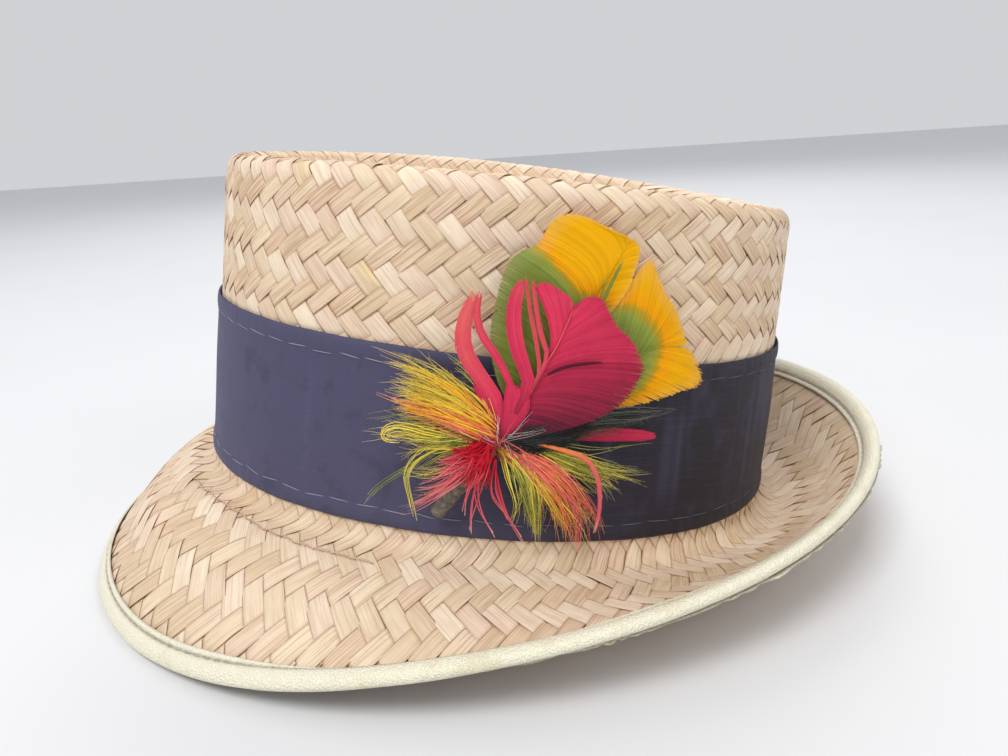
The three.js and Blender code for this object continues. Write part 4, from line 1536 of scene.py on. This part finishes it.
class StrawSettings(bpy.types.PropertyGroup):
    """The woven body."""

    pale: colour_setting("Pale strip", "Lightest strips", 0.86, 0.715, 0.54)
    tan: colour_setting("Tan strip", "Darker strips", 0.70, 0.53, 0.36)
    blush: colour_setting("Blush strip", "Pinkish strips", 0.78, 0.59, 0.45)
    relief: FloatProperty(
        name="Relief", description="Rise of a strip over another, mm", default=0.36
    )
    thickness: FloatProperty(name="Thickness", description="Thickness of a strip, mm", default=0.4)
    arch: FloatProperty(name="Arch", description="Rise of a strip's middle, mm", default=0.1)
    fill: FloatProperty(name="Fill", description="Share of its place a strip fills", default=1.05)
    first_row: IntProperty(
        name="First row", description="Where the rows' pattern starts", default=0
    )
    brim_strips: IntProperty(
        name="Brim strips", description="Strips each way on the brim", default=92
    )


class BandSettings(bpy.types.PropertyGroup):
    """The cloth band."""

    cloth: colour_setting("Cloth", "Colour of the band", 0.070, 0.066, 0.124)
    painted_shade: colour_setting("Shaded", "Colour out of the light", 0.020, 0.016, 0.022)
    thread: colour_setting("Thread", "Colour of the hem stitches", 0.30, 0.29, 0.35)
    stitches: IntProperty(name="Stitches", description="Stitches round each hem", default=67)


class BindingSettings(bpy.types.PropertyGroup):
    """The rolled edge."""

    cover: colour_setting("Cover", "Colour of the rolled edge", 0.87, 0.83, 0.665)
    thread: colour_setting("Thread", "Colour of the seam stitches", 0.62, 0.50, 0.42)


class SpraySettings(bpy.types.PropertyGroup):
    """The feather spray."""

    crimson: colour_setting("Crimson", "Dye of the red feather", 0.66, 0.036, 0.095)
    yellow: colour_setting("Yellow", "Dye of the feather tips", 0.83, 0.40, 0.001)
    green: colour_setting("Green", "Dye of the feather bases", 0.26, 0.32, 0.055)


class StageSettings(bpy.types.PropertyGroup):
    """Camera, floor and lights."""

    azimuth: angle_setting("Azimuth", "Camera's turn", -4.4438)
    elevation: angle_setting("Elevation", "Camera's height angle", 16.91)
    roll: angle_setting("Roll", "Camera's tilt", -3.62)
    distance: FloatProperty(
        name="Distance", description="Camera to hat", subtype="DISTANCE", unit="LENGTH", default=0.30207
    )
    target: FloatVectorProperty(
        name="Target",
        description="Point the camera looks at",
        subtype="TRANSLATION",
        unit="LENGTH",
        default=(0.00875, 0.0, 0.04543),
    )
    lens: FloatProperty(name="Lens", description="Focal length, mm", default=29.04)
    light: FloatProperty(
        name="Light", description="Strength of the soft light", default=1.0, min=0.0
    )


def stand_camera(scene, stage):
    """The camera, which looks at its target from the stage's angles and distance."""
    data = bpy.data.cameras.new("camera")
    data.sensor_width = 36.0
    data.lens = stage.lens
    data.clip_start = 0.005
    data.clip_end = 30.0
    a = stage.azimuth
    e = stage.elevation
    back = Vector((math.sin(a) * math.cos(e), -math.cos(a) * math.cos(e), math.sin(e)))
    facing = back.to_track_quat("Z", "Y").to_matrix().to_4x4()
    place = Matrix.Translation(Vector(stage.target) + back * stage.distance)
    scene.camera = set_down("camera", data)
    scene.camera.matrix_world = place @ facing @ Matrix.Rotation(stage.roll, 4, "Z")


def lay_floor():
    mesh = bmesh.new()
    bmesh.ops.create_grid(mesh, x_segments=2, y_segments=2, size=4.0)
    finish = floor_finish("pale_floor", (0.72, 0.72, 0.73))
    set_down("floor", finished("floor", mesh), finish, smooth=False)


def light_hat(scene, strength):
    """Three soft lights that face the hat, and a pale sky."""
    for name, place, size, power in (
        ("key", (-0.5, -0.75, 1.5), 0.8, 17.5),
        ("fill", (1.1, -0.8, 0.8), 1.2, 3.0),
        ("back", (0.3, 1.2, 1.3), 1.0, 9.0),
    ):
        data = bpy.data.lights.new(name, "AREA")
        data.size = size
        data.energy = power * strength
        light = set_down(name, data)
        light.location = place
        aim = Vector(place) - Vector((0.0, 0.0, 0.06))
        light.rotation_euler = aim.to_track_quat("Z", "Y").to_euler()
    scene.world = bpy.data.worlds.new("studio")
    scene.world.use_nodes = True
    sky = scene.world.node_tree.nodes["Background"]
    sky.inputs["Color"].default_value = (0.95, 0.97, 1.0, 1.0)
    sky.inputs["Strength"].default_value = 0.66 * strength


# ---------------------------------------------------------------- operators


class HAT_OT_weave_body(bpy.types.Operator):
    """Weave the crown and the brim from split palm strips"""

    bl_idname = "hat.weave_body"
    bl_label = "Weave body"

    def execute(self, context):
        straw = context.scene.hat_straw
        palm = straw_finish("split_palm", tuple(straw.pale), tuple(straw.tan), tuple(straw.blush))
        for piece in weave_crown(straw, palm) + weave_brim(straw, palm):
            settle(piece, "straw", "straw_body")
        settle(make_brim_thread(thread_finish("tan_thread", (0.74, 0.48, 0.34))), "straw")
        return {"FINISHED"}


class HAT_OT_sew_band(bpy.types.Operator):
    """Wrap the hemmed cloth band round the crown"""

    bl_idname = "hat.sew_band"
    bl_label = "Sew band"

    def execute(self, context):
        chosen = context.scene.hat_band
        cloth = cloth_finish("band_cotton", tuple(chosen.cloth), tuple(chosen.painted_shade))
        thread = thread_finish("hem_thread", tuple(chosen.thread), 0.35)
        band, stitches = make_band(chosen, cloth, thread)
        settle(band, "band_cloth", "hat_band")
        settle(stitches, "band_cloth")
        return {"FINISHED"}


class HAT_OT_roll_binding(bpy.types.Operator):
    """Roll the coated binding over the brim's edge and stitch it down"""

    bl_idname = "hat.roll_binding"
    bl_label = "Roll binding"

    def execute(self, context):
        chosen = context.scene.hat_binding
        vinyl = binding_finish("coated_binding", tuple(chosen.cover))
        thread = thread_finish("seam_thread", tuple(chosen.thread))
        binding, frill, stitches = make_binding(vinyl, thread)
        settle(binding, "binding", "brim_binding")
        settle(frill, "binding", "brim_binding")
        settle(stitches, "binding")
        return {"FINISHED"}


class HAT_OT_lay_feathers(bpy.types.Operator):
    """Lay the dyed vane feathers"""

    bl_idname = "hat.lay_feathers"
    bl_label = "Lay feathers"

    def execute(self, context):
        dye = context.scene.hat_spray
        green, yellow, crimson = tuple(dye.green), tuple(dye.yellow), tuple(dye.crimson)
        warm = scaled(yellow, 1.03, 0.84, 1.0)
        two = [(0.0, scaled(green, 0.6)), (0.35, green), (0.5, (0.48, 0.30, 0.012)), (0.6, warm)]
        two.append((0.9, yellow))
        green_yellow = barb_finish("green_yellow_barbs", two, (0.05, 0.06, 0.02), 0.08)
        red = [(0.0, (0.10, 0.012, 0.03)), (0.35, scaled(crimson, 0.62)), (0.65, crimson)]
        red.append((1.0, (0.74, 0.16, 0.12)))
        crimson_barbs = barb_finish("crimson_barbs", red, (0.10, 0.012, 0.02), 0.0)
        settle(make_upper_feather(green_yellow), "green_yellow_feather", "upper_feather")
        settle(make_side_feather(green_yellow), "green_yellow_feather", "side_feather")
        settle(make_crimson_feather(crimson_barbs), "crimson_feather", "crimson_feather")
        settle(make_small_red_feather(crimson_barbs), "crimson_feather", "small_red_feather")
        return {"FINISHED"}


class HAT_OT_tie_hackles(bpy.types.Operator):
    """Tie the loose hackle tufts and the down round the knot"""

    bl_idname = "hat.tie_hackles"
    bl_label = "Tie hackles"

    def execute(self, context):
        olive = (0.16, 0.20, 0.06)
        lime = (0.80, 0.66, 0.09)
        amber = (0.98, 0.55, 0.03)
        orange = (0.92, 0.26, 0.06)
        pink = (0.76, 0.13, 0.16)
        places = (0.0, 0.2, 0.42, 0.62, 0.85, 1.0)
        mixed = list(zip(places, (olive, lime, amber, orange, pink, pink)))
        hackle = barb_finish("hackle_barbs", mixed, (0.35, 0.05, 0.02), 0.3)
        dark, deep, blush = (0.34, 0.003, 0.012), (0.60, 0.010, 0.026), (0.84, 0.26, 0.26)
        red = [(0.0, dark), (0.45, deep), (0.8, pink), (1.0, blush)]
        red_hackle = barb_finish("red_hackle_barbs", red, (0.5, 0.005, 0.012), 0.35)
        soot, moss, ash, pale = (
            (0.02, 0.018, 0.022),
            (0.10, 0.12, 0.08),
            (0.5, 0.45, 0.42),
            (0.8, 0.76, 0.72),
        )
        grey = [(0.0, soot), (0.4, moss), (0.8, ash), (1.0, pale)]
        down = barb_finish("down_barbs", grey, (0.1, 0.08, 0.08), 0.2)
        settle(make_front_tuft(hackle), "hackle", "front_hackle_tuft")
        settle(make_lower_tuft(hackle), "hackle", "lower_hackle_tuft")
        settle(make_red_tuft(red_hackle), "red_hackle", "red_hackle_tuft")
        settle(make_down(down), "hackle")
        return {"FINISHED"}


class HAT_OT_wind_stem(bpy.types.Operator):
    """Wind the stem and cut the felt pad under the spray"""

    bl_idname = "hat.wind_stem"
    bl_label = "Wind stem"

    def execute(self, context):
        tape = tape_finish("stem_tape_wound", (0.23, 0.20, 0.15))
        settle(make_stem(tape), "stem_tape", "wrapped_stem")
        pad = settle(make_pad(felt_finish("pad_felt", (0.05, 0.05, 0.06))), "pad", "spray_pad")
        return {"FINISHED"}


class HAT_OT_set_stage(bpy.types.Operator):
    """Set the camera, the pale floor and the soft lights"""

    bl_idname = "hat.set_stage"
    bl_label = "Set stage"

    def execute(self, context):
        scene = context.scene
        scene.view_settings.view_transform = "Standard"
        stand_camera(scene, scene.hat_stage)
        lay_floor()
        light_hat(scene, scene.hat_stage.light)
        return {"FINISHED"}


class HAT_PT_workshop(bpy.types.Panel):
    """The hat's making, step by step"""

    bl_label = "Straw fedora"
    bl_idname = "HAT_PT_workshop"
    bl_space_type = "VIEW_3D"
    bl_region_type = "UI"
    bl_category = "Hat"

    def draw(self, context):
        for step in STEPS:
            self.layout.operator(step.bl_idname)


STEPS = (
    HAT_OT_set_stage,
    HAT_OT_weave_body,
    HAT_OT_sew_band,
    HAT_OT_roll_binding,
    HAT_OT_lay_feathers,
    HAT_OT_tie_hackles,
    HAT_OT_wind_stem,
)
SETTINGS = {
    "hat_straw": StrawSettings,
    "hat_band": BandSettings,
    "hat_binding": BindingSettings,
    "hat_spray": SpraySettings,
    "hat_stage": StageSettings,
}


def register():
    for name, group in SETTINGS.items():
        bpy.utils.register_class(group)
        setattr(bpy.types.Scene, name, PointerProperty(type=group))
    for step in STEPS:
        bpy.utils.register_class(step)
    bpy.utils.register_class(HAT_PT_workshop)


def unregister():
    bpy.utils.unregister_class(HAT_PT_workshop)
    for step in reversed(STEPS):
        bpy.utils.unregister_class(step)
    for name, group in SETTINGS.items():
        delattr(bpy.types.Scene, name)
        bpy.utils.unregister_class(group)


def main():
    register()
    for step in STEPS:
        group, name = step.bl_idname.split(".")
        getattr(getattr(bpy.ops, group), name)()


if __name__ == "__main__":
    main()
